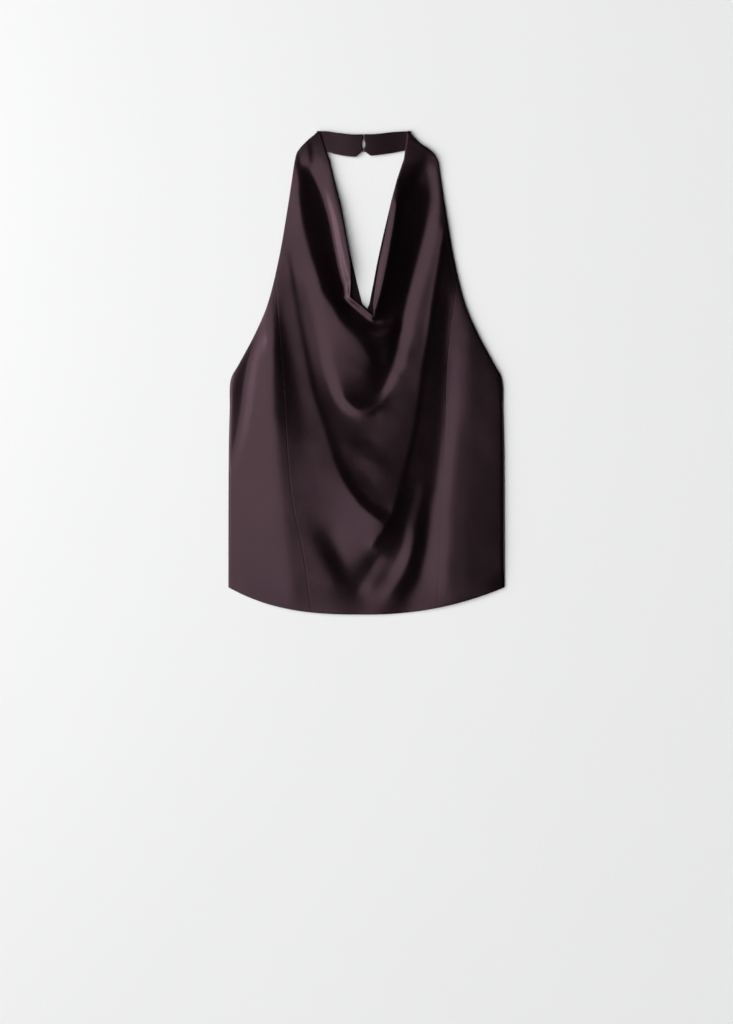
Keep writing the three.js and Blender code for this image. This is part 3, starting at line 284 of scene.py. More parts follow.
        (86, -250, 2), (80, -280, 1.8), (72, -308, 2.1), (58, -328, 2))),
    Line("ridge A", 0.4, (
        (24, -331, 4.4), (41, -310, 6.2), (57, -281, 5.8), (67, -250, 6.2), (71, -222, 6),
        (78, -192, 4.6), (85, -164, 4))),
    Line("ridge A foot", 0.4, (
        (-2, -332, 3.2), (19, -311, 4.2), (40, -281, 2.8), (53, -251, 4), (57, -221, 5.2),
        (65, -192, 4.2), (74, -166, 4))),
    Line("ridge B", 0.4, (
        (5, -311, 4.8), (19, -292, 3.6), (29, -279, 3.2))),
    Line("ridge B foot", 0.4, (
        (-15, -318, 3), (0, -296, 2.7), (8, -282, 2.2), (19, -266, 4))),
    Line("third facet", 0.2, (
        (-50, -226, 7.5), (-25, -234, 8.6), (0, -232, 10), (14, -230, 10.8))),
    Line("third facet foot", 0.2, (
        (-30, -262, 5.7), (-12, -268, 5.8), (0, -266, 5.8))),
    Line("roll dark above", 0.3, (
        (-20, -92, 7.9), (-6, -96, 6.8), (14, -100, 6.2))),
    Line("middle roll", 0.4, (
        (-28, -108, 8.9), (-12, -119, 8.7), (6, -128, 8.7), (26, -137, 8.2))),
    Line("roll dark below", 0.3, (
        (-22, -132, 8.7), (-8, -146, 8.4), (8, -156, 7.8))),
    Line("strip rise", 0.2, (
        (116.5, -95, 2.7), (112, -130, 2.7), (109, -160, 3), (104, -190, 3.4), (100, -220, 3.5),
        (98, -250, 3.4), (96, -280, 3.4), (93, -310, 3.4))),
    Line("seam strip", 0.2, (
        (134, 100, 3.9), (135, 50, 4), (134, 0, 4.2), (132, -60, 4.5), (127, -95, 4.8),
        (122, -130, 5), (119, -190, 5.8), (117, -250, 6.2), (115, -310, 5.6))),
    Line("right ridge", 0.2, (
        (147, 60, 4.7), (147, 0, 4.8), (147, -60, 5), (146, -130, 5.2), (144, -190, 5.9),
        (143, -250, 6.2), (144, -300, 5.6))),
    Line("hem", 0.2, (
        (-185, -318.5, 4.2), (-150, -332.6, 4.8), (-112, -342, 4.8), (-78, -346.6, 4.2),
        (-45, -348.8, 4.4), (-10, -349.5, 3.6), (20, -349, 3.8), (45, -347.8, 2.5),
        (62, -346.2, 2.2), (95, -341.2, 3.8), (122, -335.6, 4.5), (150, -328, 4.4),
        (185, -316, 4.2))),
)

# Edges of the neckline: height along the garment, place across and height above the floor.
LEFT_EDGE = ((81, 10.5, 13.5), (109, -24, 14.4), (130, -22.5, 12.2), (160, -23, 10.6),
             (190, -28, 9.4), (220, -33.5, 8.5), (250, -39.5, 7.1), (280, -47.5, 5.6),
             (310, -55, 5.7), (350, -67, 4.8))
RIGHT_EDGE = ((81, 10.5, 13.5), (100, 10, 11.8), (130, 14, 11.6), (160, 19, 11.4),
              (190, 25.5, 10.6), (220, 31.5, 9.6), (250, 36.5, 8.6), (280, 45, 6.8),
              (304, 53.5, 5.3), (350, 60, 4.8))

REST = 1.5  # the front lies on the back and the facing
OVER_BAND = 4.5  # and on the neckband under the shoulders
OVER_BAND_Y = 296
OVER_BAND_RUN = 18
ARM_RUN = 30  # the front comes down to the floor beside the armholes, over this length
ARM_START = 14  # from this far above the underarm
ARM_END = 8  # to this far below the shoulder
ARM_INSET = 16  # and out from this far inside the armhole
SEWN_RUN = 12  # the side seams hold the front down to this far above the underarm
SEWN_REACH = 3
CALM_REACH = 30  # the ripples fade this far from the edges
FIELD_LEFT = -224
FIELD_RIGHT = 224
FIELD_LOW = -376
FIELD_HIGH = 376
MARGIN = 16  # the cloth's heights are carried on this far outside its outline
FIELD_STEPS = (16, 8, 4, 2)
FINE_STEP = 3  # grids finer than this need fewer passes, because they start from a coarser one
COARSE_PASSES = 260
FINE_PASSES = 120
OVERSHOOT = 1.7  # each place moves this much of its way to the mean of its neighbours
START_HEIGHT = 4.0
LINE_STEPS = 12
LINE_DENSITY = 0.4  # grid steps from one stop on a line to the next
ROLL_PASSES = 26  # passes that soften the cloth away from sharp lines
SHARP_PASSES = 3  # and on the sharpest ones
ROLL_SHARE = 0.8
SHARP_REACH = 3  # grid steps that a line's sharpness spreads
SHARP_FALL = 0.93
SHARP_BLUR_PASSES = 4
SHARP_BLUR = 0.8


def ease(value):
    share = np.clip(value, 0, 1)
    return share * share * (3 - 2 * share)


def look_up(rows, at):
    """Smooth value of a two-column table."""
    table = np.asarray(rows, float)
    keys = table[:, 0]
    values = table[:, 1]
    at = np.asarray(at, float)
    last = len(keys) - 1
    row = np.clip(np.searchsorted(keys, at, side="left") - 1, 0, last - 1)
    before = np.maximum(row - 1, 0)
    after = np.minimum(row + 2, last)
    span = keys[row + 1] - keys[row]
    share = np.clip((at - keys[row]) / span, 0, 1)
    start = (values[row + 1] - values[before]) / (keys[row + 1] - keys[before]) * span
    end = (values[after] - values[row]) / (keys[after] - keys[row]) * span
    square = share * share
    cube = square * share
    return ((2 * cube - 3 * square + 1) * values[row] + (cube - 2 * square + share) * start
            + (3 * square - 2 * cube) * values[row + 1] + (cube - square) * end)


def straight_look_up(rows, at):
    table = np.asarray(rows, float)
    return np.interp(at, table[:, 0], table[:, 1])


def hem_rise(x):
    power = np.where(np.asarray(x) < 0, HEM_POWER_LEFT, HEM_POWER_RIGHT)
    return HEM_RISE * (np.abs(x) / HALF_BODY) ** power


def with_hem(x, y):
    """Lifts a level row to the curve of the hem, less and less towards the blend height."""
    share = np.clip((HEM_BLEND_Y - y) / (HEM_BLEND_Y - HEM_Y), 0, 1)
    return y + hem_rise(x) * share


def outline_at(y):
    return look_up(OUTLINE, np.minimum(y, SHOULDER_Y))


def rest_height(x, y):
    """Underside of the front where it has no fold."""
    inside = outline_at(y) - np.abs(x)
    over_arm = (ease((y - UNDERARM_Y - ARM_START) / ARM_RUN)
                * ease((SHOULDER_Y - ARM_END - y) / ARM_RUN))
    over_band = ease((y - OVER_BAND_Y) / OVER_BAND_RUN)
    low = REST * (1 - over_arm * (1 - ease(inside / ARM_INSET)))
    return low + (OVER_BAND - low) * over_band


def smooth_line(points, steps):
    """Points of a curve through a line's points."""
    known = np.asarray(points, float)
    ends = np.vstack([2 * known[0] - known[1], known, 2 * known[-1] - known[-2]])
    found = []
    for index in range(1, len(ends) - 2):
        a, b, c, d = ends[index - 1:index + 3]
        for share in np.linspace(0, 1, steps, endpoint=False):
            found.append(0.5 * (2 * b + (c - a) * share + (2 * a - 5 * b + 4 * c - d) * share ** 2
                                + (3 * b - a - 3 * c + d) * share ** 3))
    found.append(known[-1])
    return np.array(found)


def neighbour_mean(field):
    mean = field.copy()
    mean[1:-1, 1:-1] = 0.25 * (field[:-2, 1:-1] + field[2:, 1:-1]
                               + field[1:-1, :-2] + field[1:-1, 2:])
    return mean


def cubic_weights(share):
    square = share * share
    cube = square * share
    return (0.5 * (2 * square - cube - share), 0.5 * (3 * cube - 5 * square + 2),
            0.5 * (share + 4 * square - 3 * cube), 0.5 * (cube - square))


class Field:
    """A number at every place of a square grid, read smoothly between its places."""

    def __init__(self, step, values):
        self.step = step
        self.values = values

    @staticmethod
    def places(step):
        across = np.arange(FIELD_LEFT, FIELD_RIGHT + step / 2, step)
        along = np.arange(FIELD_LOW, FIELD_HIGH + step / 2, step)
        return np.meshgrid(across, along)

    def index(self, x, y):
        rows, columns = self.values.shape
        column = np.clip((np.asarray(x, float) - FIELD_LEFT) / self.step, 1, columns - 2.001)
        row = np.clip((np.asarray(y, float) - FIELD_LOW) / self.step, 1, rows - 2.001)
        return row, column

    def at(self, x, y):
        row, column = self.index(x, y)
        low = np.floor(row).astype(int)
        left = np.floor(column).astype(int)
        rows, columns = self.values.shape
        total = 0
        for up, row_weight in enumerate(cubic_weights(row - low)):
            for over, column_weight in enumerate(cubic_weights(column - left)):
                value = self.values[np.clip(low + up - 1, 0, rows - 1),
                                    np.clip(left + over - 1, 0, columns - 1)]
                total = total + row_weight * column_weight * value
        return total


def beyond_front(x, y):
    """Whether a place is well outside the outline of the front."""
    share = np.clip((y - SHOULDER_Y) / (NECK_Y - SHOULDER_Y), 0, 1)
    edge = outline_at(y) - SHOULDER_SLANT * share + MARGIN
    return (np.abs(x) > edge) | (y < HEM_Y - MARGIN + hem_rise(x)) | (y > NECK_Y + MARGIN)


def edge_line(rows):
    """A neckline edge as points across, along and up."""
    table = np.asarray(rows, float)
    return np.column_stack([table[:, 1], table[:, 0], table[:, 2]])


def lay_line(field_step, points, total, count):
    """Adds the heights of a line to the grid places that it passes."""
    lengths = np.hypot(*np.diff(points[:, :2], axis=0).T)
    walked = np.concatenate([[0], np.cumsum(lengths)])
    stops = np.append(np.arange(0, walked[-1], field_step * LINE_DENSITY), walked[-1])
    x, y, z = (np.interp(stops, walked, points[:, axis]) for axis in range(3))
    column = np.round((x - FIELD_LEFT) / field_step).astype(int)
    row = np.round((y - FIELD_LOW) / field_step).astype(int)
    np.add.at(total, (row, column), z)
    np.add.at(count, (row, column), 1)


def relaxed_cloth(fullness):
    """The front's underside: cloth drawn taut between its crests and feet, then softened."""
    heights = None
    for step in FIELD_STEPS:
        x, y = Field.places(step)
        rest = rest_height(x, y)
        outside = beyond_front(x, y)
        total = np.zeros(x.shape)
        count = np.zeros(x.shape)
        for line in LINES:
            lay_line(step, smooth_line(line.points, LINE_STEPS), total, count)
        for rows in (LEFT_EDGE, RIGHT_EDGE):
            lay_line(step, edge_line(rows), total, count)
        held = (count > 0) & ~outside
        known = rest + (total / np.maximum(count, 1) - rest) * fullness
        start = np.full(x.shape, START_HEIGHT) if heights is None else heights.at(x, y)
        values = np.where(outside, rest, np.where(held, known, start))
        free = ~(outside | held)
        even = np.add.outer(np.arange(x.shape[0]), np.arange(x.shape[1])) % 2 == 0
        for _ in range(COARSE_PASSES if step > FINE_STEP else FINE_PASSES):
            for turn in (even & free, ~even & free):
                mean = neighbour_mean(values)
                values[turn] += OVERSHOOT * (mean[turn] - values[turn])
        heights = Field(step, values)
    return softened(heights, outside)


def sharpness(step, shape):
    """How far the cloth keeps an edge at each place."""
    kept = np.zeros(shape)
    for line in LINES:
        points = smooth_line(line.points, 2 * LINE_STEPS)
        column = np.round((points[:, 0] - FIELD_LEFT) / step).astype(int)
        row = np.round((points[:, 1] - FIELD_LOW) / step).astype(int)
        kept[row, column] = np.maximum(kept[row, column], line.sharp)
    for _ in range(SHARP_REACH):
        wider = kept.copy()
        for axis in (0, 1):
            for turn in (-1, 1):
                wider = np.maximum(wider, SHARP_FALL * np.roll(kept, turn, axis))
        kept = wider
    for _ in range(SHARP_BLUR_PASSES):
        kept = (1 - SHARP_BLUR) * kept + SHARP_BLUR * neighbour_mean(kept)
    return kept


def softened(heights, outside):
    """The cloth rolled softly over its lines, the less the sharper they are."""
    values = heights.values
    kept = sharpness(heights.step, values.shape)
    for number in range(ROLL_PASSES):
        share = np.clip((1 - kept) * ROLL_PASSES + SHARP_PASSES - number, 0, 1)
        moved = np.where(outside, 0, ROLL_SHARE * share)
        values = values + moved * (neighbour_mean(values) - values)
    return Field(heights.step, values)


# ---------------------------------------------------------------- pieces as meshes

LAYER = 0.5  # thickness of one layer of satin
TOP_LAYER = 0.92  # middle of the outer layer above the piece's underside
TURNED_LAYER = 0.32  # middle of the turned-under edge
FOLD_LAYER = 0.62
TURN_LAYERS = np.array([TURNED_LAYER] * 4 + [0.42, FOLD_LAYER])  # from its inner end to the fold
TURN_SHARES = np.array([1, 0.7, 0.4, 0.12, 0.04, 0])
TURN_WIDTH = 5.0
HEM_TURN = np.array([8, 5.5, 3, 1, 0.3, 0])
EDGE_REACH = 1.6  # the cloth rounds over this far from a folded edge
SEAM_REACH = 1.4
SEAM_DIP = 0.05
# Distances from an edge inwards, close together where the cloth rounds over.
EDGE_STEPS = np.array([0, 0.25, 0.6, 1.1, 1.7, 2.6])
EDGE_END = 3.6
COLUMN_STEPS = np.array([0, 0.05, 0.3, 0.8, 1.5, 2.5, 3.6])  # the same across the front
ROW_STEP = 2.1  # from one row of a front piece to the next
MIDDLE_COLUMNS = 56
SIDE_COLUMNS = 42
CORNER_ROWS = 15  # rows of a strap below the neckline's corner
STRAP_ROWS = 112  # and above it
NECK_TURN_RUN = 22  # the turned neckline edge widens over this length above the point
NECK_ROUND_RUN = 6
SIDE_TURN_RUN = 30  # and the armhole's narrows over this length below the seam's top
SEAM_END_RUN = 16  # the seam's pressed edge becomes the armhole's fold over this length
SIDE_TOP_GAP = 0.4  # the side fronts end this far below the seam's top
LEAST_TURN = 0.05
MERGE = 0.002  # points nearer than this are one


def edge_layer(distance):
    """Middle of the outer layer near an edge, above the piece's underside."""
    share = np.clip(distance / EDGE_REACH, 0, 1)
    return FOLD_LAYER + (TOP_LAYER - FOLD_LAYER) * np.sqrt(1 - (1 - share) ** 2)


def seam_layer(distance):
    """The same beside a pressed seam, which only dips."""
    share = np.clip(distance / SEAM_REACH, 0, 1)
    return TOP_LAYER - SEAM_DIP * (1 - share) ** 2


class Patches:
    """Grids of points that are joined where they share places."""

    def __init__(self):
        self.points = []
        self.faces = []
        self.count = 0

    def add(self, grid, flip=False):
        """grid has rows, columns and the three measures. Rows run up and columns to the right."""
        rows, columns = grid.shape[:2]
        index = np.arange(rows * columns).reshape(rows, columns) + self.count
        corners = [index[:-1, :-1], index[:-1, 1:], index[1:, 1:], index[1:, :-1]]
        if flip:
            corners.reverse()
        self.faces.append(np.stack(corners, -1).reshape(-1, 4))
        self.points.append(grid.reshape(-1, 3))
        self.count += rows * columns

    def mesh(self, name):
        points = np.vstack(self.points)
        faces = np.vstack(self.faces)
        keys = np.round(points / MERGE).astype(np.int64)
        _, first, place = np.unique(keys, axis=0, return_index=True, return_inverse=True)
        faces = place.reshape(-1)[faces]
        cleaned = []
        for face in faces.tolist():
            corners = list(dict.fromkeys(face))
            if len(corners) > 2:
                cleaned.append(corners)
        mesh = bpy.data.meshes.new(name)
        mesh.from_pydata((points[first] * MM).tolist(), [], cleaned)
        mesh.validate()
        mesh.update()
        mesh.polygons.foreach_set("use_smooth", [True] * len(mesh.polygons))
        return mesh


def linked(name, mesh, material):
    piece = bpy.data.objects.new(name, mesh)
    bpy.context.scene.collection.objects.link(piece)
    mesh.materials.clear()
    mesh.materials.append(material)
    return piece


def thicken(piece, thickness):
    wall = piece.modifiers.new("Layer", "SOLIDIFY")
    wall.thickness = thickness * MM
    wall.offset = 0
    wall.use_even_offset = False


def finish_piece(piece, nodes):
    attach(piece, BODY)
    if nodes:
        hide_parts(*nodes)
    return piece


def seam_of(side):
    return LEFT_SEAM if side < 0 else RIGHT_SEAM


class Front:
    """The drape of the front, and the grids of its three pieces."""

    def __init__(self, settings):
        self.heights = relaxed_cloth(settings.fullness)
        self.ripple = ripple_field(settings.seed)

    def underside(self, x, y):
        side = outline_at(y) - np.abs(x)
        calm = ease(np.minimum(side, y - HEM_Y - hem_rise(x)) / CALM_REACH)
        height = self.heights.at(x, y) + calm * self.ripple.at(x, y)
        height = np.maximum(rest_height(x, y), height)
        sewn = (1 - ease(side / SEWN_REACH)) * (1 - ease((y - UNDERARM_Y) / SEWN_RUN))
        return height + (REST - height) * sewn

    def outer_edge(self, side, y):
        """The middle piece's outer edge: the seam, and above it the armhole."""
        seam = look_up(seam_of(side), y) - side * PRESSED_GAP / 2
        return np.where(y < SEAM_TOP_Y, seam, side * outline_at(y))

    def cloth(self, x, y, layer):
        """Points of the cloth at a layer above the piece's underside."""
        return np.stack([x, y, self.underside(x, y) + layer], -1)

    def turned_columns(self, x_edge, inward, y, width):
        """The edge turned under: from its inner end to the fold."""
        x = x_edge[:, None] + inward * width[:, None] * TURN_SHARES[None, :]
        return x, np.broadcast_to(y[:, None], x.shape), np.broadcast_to(TURN_LAYERS, x.shape)

    def body_rows(self, top):
        """Heights of the rows from the hem up, close together at the hem."""
        count = int((top - HEM_Y - EDGE_END) / ROW_STEP)
        return np.concatenate([HEM_Y + EDGE_STEPS, np.linspace(HEM_Y + EDGE_END, top, count)])

    def half_columns(self, outer, inner, count):
        """Places from the outer edge to the inner one, one row for each pair of ends, close
        together at both."""
        share = []
        for span in np.abs(inner - outer):
            ends = COLUMN_STEPS * min(1, 0.4 * span / COLUMN_STEPS[-1]) / span
            middle = ends[-1] + (1 - 2 * ends[-1]) * np.linspace(0, 1, count)[1:-1]
            share.append(np.concatenate([ends, middle, 1 - ends[::-1]]))
        share = np.array(share)
        return outer[:, None] + (inner - outer)[:, None] * share, share

    def hem_row(self, start, end):
        """A row for stitches inside the hem, on top of the cloth."""
        x = np.linspace(start, end, STITCH_ROW)
        y = with_hem(x, np.full(x.shape, float(HEM_Y + STITCH_INSET)))
        return self.cloth(x, y, TOP_LAYER + LAYER / 2)

    def armhole_row(self, side, low, high):
        """A row for stitches beside the armhole."""
        y = np.linspace(low, high, 100)
        return self.cloth(side * (outline_at(y) - STITCH_INSET), y, TOP_LAYER + LAYER / 2)

    def middle_piece(self):
        """Grids of the middle piece: its body, its two straps and their turned edges."""
        cloth = Patches()
        for side in (-1, 1):
            self.add_body(cloth, side)
            self.add_strap(cloth, side)
        return cloth

    def add_body(self, cloth, side):
        y = self.body_rows(POINT[1])
        outer = self.outer_edge(side, y)
        inner = look_up(MIDDLE, y)
        x = self.half_columns(outer, inner, MIDDLE_COLUMNS)[0]
        rows = np.broadcast_to(y[:, None], x.shape)
        from_edge = np.abs(x - outer[:, None])
        layer = np.minimum(seam_layer(from_edge), edge_layer(rows - HEM_Y))
        self.add_hemmed(cloth, side, x, rows, layer)

    def add_hemmed(self, cloth, side, x, rows, layer):
        """Adds a grid that starts at the hem, with the hem turned up inside it."""
        turn = (len(HEM_TURN), x.shape[1])
        hem = (np.broadcast_to(x[0], turn), np.broadcast_to(HEM_Y + HEM_TURN[:, None], turn),
               np.broadcast_to(TURN_LAYERS[:, None], turn))
        x, rows, layer = (np.vstack([start, rest[1:]])
                          for start, rest in zip(hem, (x, rows, layer)))
        grid = self.cloth(x, with_hem(x, rows), layer)
        cloth.add(grid[:, ::-1] if side > 0 else grid)

    def add_strap(self, cloth, side):
        neckline = LEFT_NECKLINE if side < 0 else RIGHT_NECKLINE
        corner = (CORNER_Y - POINT[1]) / (NECK_Y - POINT[1])
        share = np.concatenate([np.linspace(0, corner, CORNER_ROWS),
                                np.linspace(corner, 1, STRAP_ROWS)[1:]])
        inner_y = POINT[1] + (NECK_Y - POINT[1]) * share
        inner = straight_look_up(neckline, inner_y)
        outer_y = POINT[1] + (SHOULDER_Y - POINT[1]) * share
        outer = self.outer_edge(side, outer_y)
        x, across = self.half_columns(outer, inner, MIDDLE_COLUMNS)
        reach = np.abs(inner - outer)[:, None]
        y = outer_y[:, None] + (inner_y - outer_y)[:, None] * across
        swell = look_up(SHOULDER_LEFT if side < 0 else SHOULDER_RIGHT, across)
        bulge = (SHOULDER_BULGE * share ** SHOULDER_POWER)[:, None] * swell
        x = x + side * bulge
        y = y + bulge
        to_shoulder = ((1 - share) * (SHOULDER_Y - POINT[1]))[:, None]
        seam = seam_layer(across * reach)
        arm = edge_layer(across * reach)
        above = ease((outer_y - SEAM_TOP_Y) / SEAM_END_RUN + 0.5)[:, None]
        round_over = ease((inner_y - POINT[1]) / NECK_ROUND_RUN)[:, None]
        neck = TOP_LAYER + (edge_layer((1 - across) * reach) - TOP_LAYER) * round_over
        layer = np.minimum(seam + (arm - seam) * above, neck)
        layer = np.minimum(layer, edge_layer(to_shoulder))
        turned = self.turned_columns(outer, -side, outer_y, np.full(len(y), TURN_WIDTH))
        width = TURN_WIDTH * ease((inner_y - POINT[1]) / NECK_TURN_RUN) + LEAST_TURN
        under = self.turned_columns(inner, side, inner_y, width)
        x, y, layer = (np.hstack([start, rest[:, 1:-1], end[:, ::-1]])
                       for start, rest, end in zip(turned, (x, y, layer), under))
        grid = self.cloth(x, y, layer)
        cloth.add(grid[:, ::-1] if side > 0 else grid)

    def side_piece(self, side):
        cloth = Patches()
        y = self.body_rows(SEAM_TOP_Y - SIDE_TOP_GAP)
        outer = side * outline_at(y)
        inner = look_up(seam_of(side), y) + side * PRESSED_GAP / 2
        x, across = self.half_columns(outer, inner, SIDE_COLUMNS)
        reach = np.abs(inner - outer)[:, None]
        rows = np.broadcast_to(y[:, None], x.shape)
        layer = np.minimum(edge_layer(across * reach), seam_layer((1 - across) * reach))
        layer = np.minimum(layer, edge_layer(rows - HEM_Y))
        width = TURN_WIDTH * ease((SEAM_TOP_Y - y) / SIDE_TURN_RUN) + LEAST_TURN
        turned = self.turned_columns(outer, -side, y, width)
        x, rows, layer = (np.hstack([start, rest[:, 1:]])
                          for start, rest in zip(turned, (x, rows, layer)))
        self.add_hemmed(cloth, side, x, rows, layer)
        return cloth


RIPPLE_STEP = 2
RIPPLES = ((12, 0.1), (24, 0.05))  # cells across the field, and height
RIPPLE_PASSES = 8


def ripple_field(seed):
    """Slight unevenness that a pressed but worn satin keeps."""
    rows = int((FIELD_HIGH - FIELD_LOW) / RIPPLE_STEP) + 1
    columns = int((FIELD_RIGHT - FIELD_LEFT) / RIPPLE_STEP) + 1
    dice = np.random.default_rng(seed)
    total = np.zeros((rows, columns))
    for cells, height in RIPPLES:
        coarse = dice.normal(0, 1, (2 * cells, cells))
        row = np.linspace(0, 2 * cells - 1, rows)
        column = np.linspace(0, cells - 1, columns)
        low = np.minimum(row.astype(int), 2 * cells - 2)
        left = np.minimum(column.astype(int), cells - 2)
        up = ease(row - low)[:, None]
        over = ease(column - left)[None, :]
        for above, up_share in ((0, 1 - up), (1, up)):
            for beside, over_share in ((0, 1 - over), (1, over)):
                corner = coarse[np.ix_(low + above, left + beside)]
                total += height * corner * up_share * over_share
    for _ in range(RIPPLE_PASSES):
        total = neighbour_mean(total)
    return Field(RIPPLE_STEP, total)


def pillow(grid, low, high, edges, rounding):
    """Closed flat shell over a grid of places, its edges rounded. edges is each place's distance
    from the nearest edge."""
    share = np.clip(edges / rounding, 0, 1)
    swell = np.sqrt(1 - (1 - share) ** 2)
    middle = (low + high) / 2
    half = (high - low) / 2 * swell
    shell = Patches()
    shell.add(np.stack([grid[..., 0], grid[..., 1], middle + half], -1))
    shell.add(np.stack([grid[..., 0], grid[..., 1], middle - half], -1), flip=True)
    return shell


# ---------------------------------------------------------------- stitching


def stitch_tree():
    """Node tree that lays a stitch at every pitch along the edges of a mesh."""
    tree = bpy.data.node_groups.new("Stitches", "GeometryNodeTree")
    sockets = tree.interface
    sockets.new_socket("Geometry", in_out="INPUT", socket_type="NodeSocketGeometry")
    for name in ("Pitch", "Length", "Width"):
        sockets.new_socket(name, in_out="INPUT", socket_type="NodeSocketFloat")
    sockets.new_socket("Geometry", in_out="OUTPUT", socket_type="NodeSocketGeometry")
    start = tree.nodes.new("NodeGroupInput")
    path = tree.nodes.new("GeometryNodeMeshToCurve")
    stops = tree.nodes.new("GeometryNodeResampleCurve")
    stops.mode = "LENGTH"
    bead = tree.nodes.new("GeometryNodeMeshUVSphere")
    bead.inputs["Segments"].default_value = 8
    bead.inputs["Rings"].default_value = 6
    bead.inputs["Radius"].default_value = 0.5
    measure = tree.nodes.new("ShaderNodeCombineXYZ")
    stitch = tree.nodes.new("GeometryNodeTransform")
    tangent = tree.nodes.new("GeometryNodeInputTangent")
    along = tree.nodes.new("FunctionNodeAlignRotationToVector")
    along.axis = "X"
    placed = tree.nodes.new("GeometryNodeInstanceOnPoints")
    real = tree.nodes.new("GeometryNodeRealizeInstances")
    dyed = tree.nodes.new("GeometryNodeSetMaterial")
    dyed.inputs["Material"].default_value = thread()
    end = tree.nodes.new("NodeGroupOutput")
    for source, output, target, place in (
            (start, "Geometry", path, "Mesh"),
            (path, "Curve", stops, "Curve"),
            (start, "Pitch", stops, "Length"),
            (start, "Length", measure, "X"),
            (start, "Width", measure, "Y"),
            (start, "Width", measure, "Z"),
            (bead, "Mesh", stitch, "Geometry"),
            (measure, "Vector", stitch, "Scale"),
            (tangent, "Tangent", along, "Vector"),
            (stops, "Curve", placed, "Points"),
            (stitch, "Geometry", placed, "Instance"),
            (along, "Rotation", placed, "Rotation"),
            (placed, "Instances", real, "Geometry"),
            (real, "Geometry", dyed, "Geometry"),
            (dyed, "Geometry", end, "Geometry")):
        tree.links.new(source.outputs[output], target.inputs[place])
    return tree


def sewn(name, rows):
    """A piece of stitches along rows of points."""
    points = np.vstack(rows) * MM
    ends = np.cumsum([len(row) for row in rows])
    edges = [(index, index + 1) for index in range(len(points) - 1) if index + 1 not in ends]
    mesh = bpy.data.meshes.new(name)
    mesh.from_pydata(points.tolist(), edges, [])
    piece = linked(name, mesh, thread())
    modifier = piece.modifiers.new("Stitches", "NODES")
    modifier.node_group = stitch_tree()
    wanted = {"Pitch": sizes().stitch_pitch, "Length": sizes().stitch_length,
              "Width": sizes().thread_width}
    for item in modifier.node_group.interface.items_tree:
        if item.in_out == "INPUT" and item.name in wanted:
            modifier[item.identifier] = wanted[item.name]
    graph = bpy.context.evaluated_depsgraph_get()
    stitches = bpy.data.meshes.new_from_object(piece.evaluated_get(graph), depsgraph=graph)
    piece.modifiers.remove(modifier)
    if not stitches.polygons:
        raise RuntimeError(f"{name} has no stitches")
    stitches.polygons.foreach_set("use_smooth", [True] * len(stitches.polygons))
    piece.data = stitches
    return finish_piece(piece, [])


# ---------------------------------------------------------------- materials

class Value:
    """A socket that holds a number, so that shader maths reads as arithmetic."""

    def __init__(self, tree, socket):
        self.tree = tree
        self.socket = socket

    def maths(self, operation, first, second):
        node = self.tree.nodes.new("ShaderNodeMath")
        node.operation = operation
        for place, term in enumerate((first, second)):
            if isinstance(term, Value):
                self.tree.links.new(term.socket, node.inputs[place])
            else:
                node.inputs[place].default_value = term
        return Value(self.tree, node.outputs[0])

    def __add__(self, other):
        return self.maths("ADD", self, other)

    def __radd__(self, other):
        return self.maths("ADD", other, self)

    def __mul__(self, other):
        return self.maths("MULTIPLY", self, other)

    def __rmul__(self, other):
        return self.maths("MULTIPLY", other, self)


class Finish:
    """A material and the way its nodes are added."""

    def __init__(self, name):
        self.material = bpy.data.materials.new(name)
        self.material.use_nodes = True
        self.tree = self.material.node_tree
        self.tree.nodes.clear()

    def node(self, kind, settings=None, **inputs):
        node = self.tree.nodes.new(kind)
        for name, setting in (settings or {}).items():
            setattr(node, name, setting)
        for name, value in inputs.items():
            socket = node.inputs[name.replace("_", " ")]
            if isinstance(value, Value):
                self.tree.links.new(value.socket, socket)
            elif isinstance(value, bpy.types.NodeSocket):
                self.tree.links.new(value, socket)
            else:
                socket.default_value = value
        return node

    def value(self, node, output):
        return Value(self.tree, node.outputs[output])

    def stretched(self, scale):
        """Object coordinates, stretched by a scale for each direction."""
        place = self.node("ShaderNodeTexCoord").outputs["Object"]
        return self.node("ShaderNodeMapping", Vector=place, Scale=scale).outputs["Vector"]

    def noise(self, scale, detail=3.0, roughness=0.5, stretch=(1, 1, 1)):
        node = self.node("ShaderNodeTexNoise", Vector=self.stretched(stretch), Scale=scale,
                         Detail=detail, Roughness=roughness)
        return self.value(node, "Fac")

    def wave(self, scale, direction, distortion):
        node = self.node("ShaderNodeTexWave", {"bands_direction": direction},
                         Vector=self.stretched((1, 1, 1)), Scale=scale, Distortion=distortion,
                         Detail=2.0, Detail_Scale=1.5)
        return self.value(node, "Fac")

    def tint(self, share, first, second):
        node = self.node("ShaderNodeMix", {"data_type": "RGBA"})
        self.tree.links.new(share.socket, node.inputs[0])
        node.inputs[6].default_value = first
        node.inputs[7].default_value = second
        return node.outputs[2]

    def relief(self, height, distance, strength=1.0):
        node = self.node("ShaderNodeBump", Height=height, Distance=distance, Strength=strength)
        return node.outputs["Normal"]

    def surface(self, **inputs):
        shader = self.node("ShaderNodeBsdfPrincipled", **inputs)
        out = self.node("ShaderNodeOutputMaterial")
        self.tree.links.new(shader.outputs[0], out.inputs["Surface"])
        return self.material


def shade(dye, factor):
    return tuple(min(1.0, part * factor) for part in dye[:3]) + (1.0,)


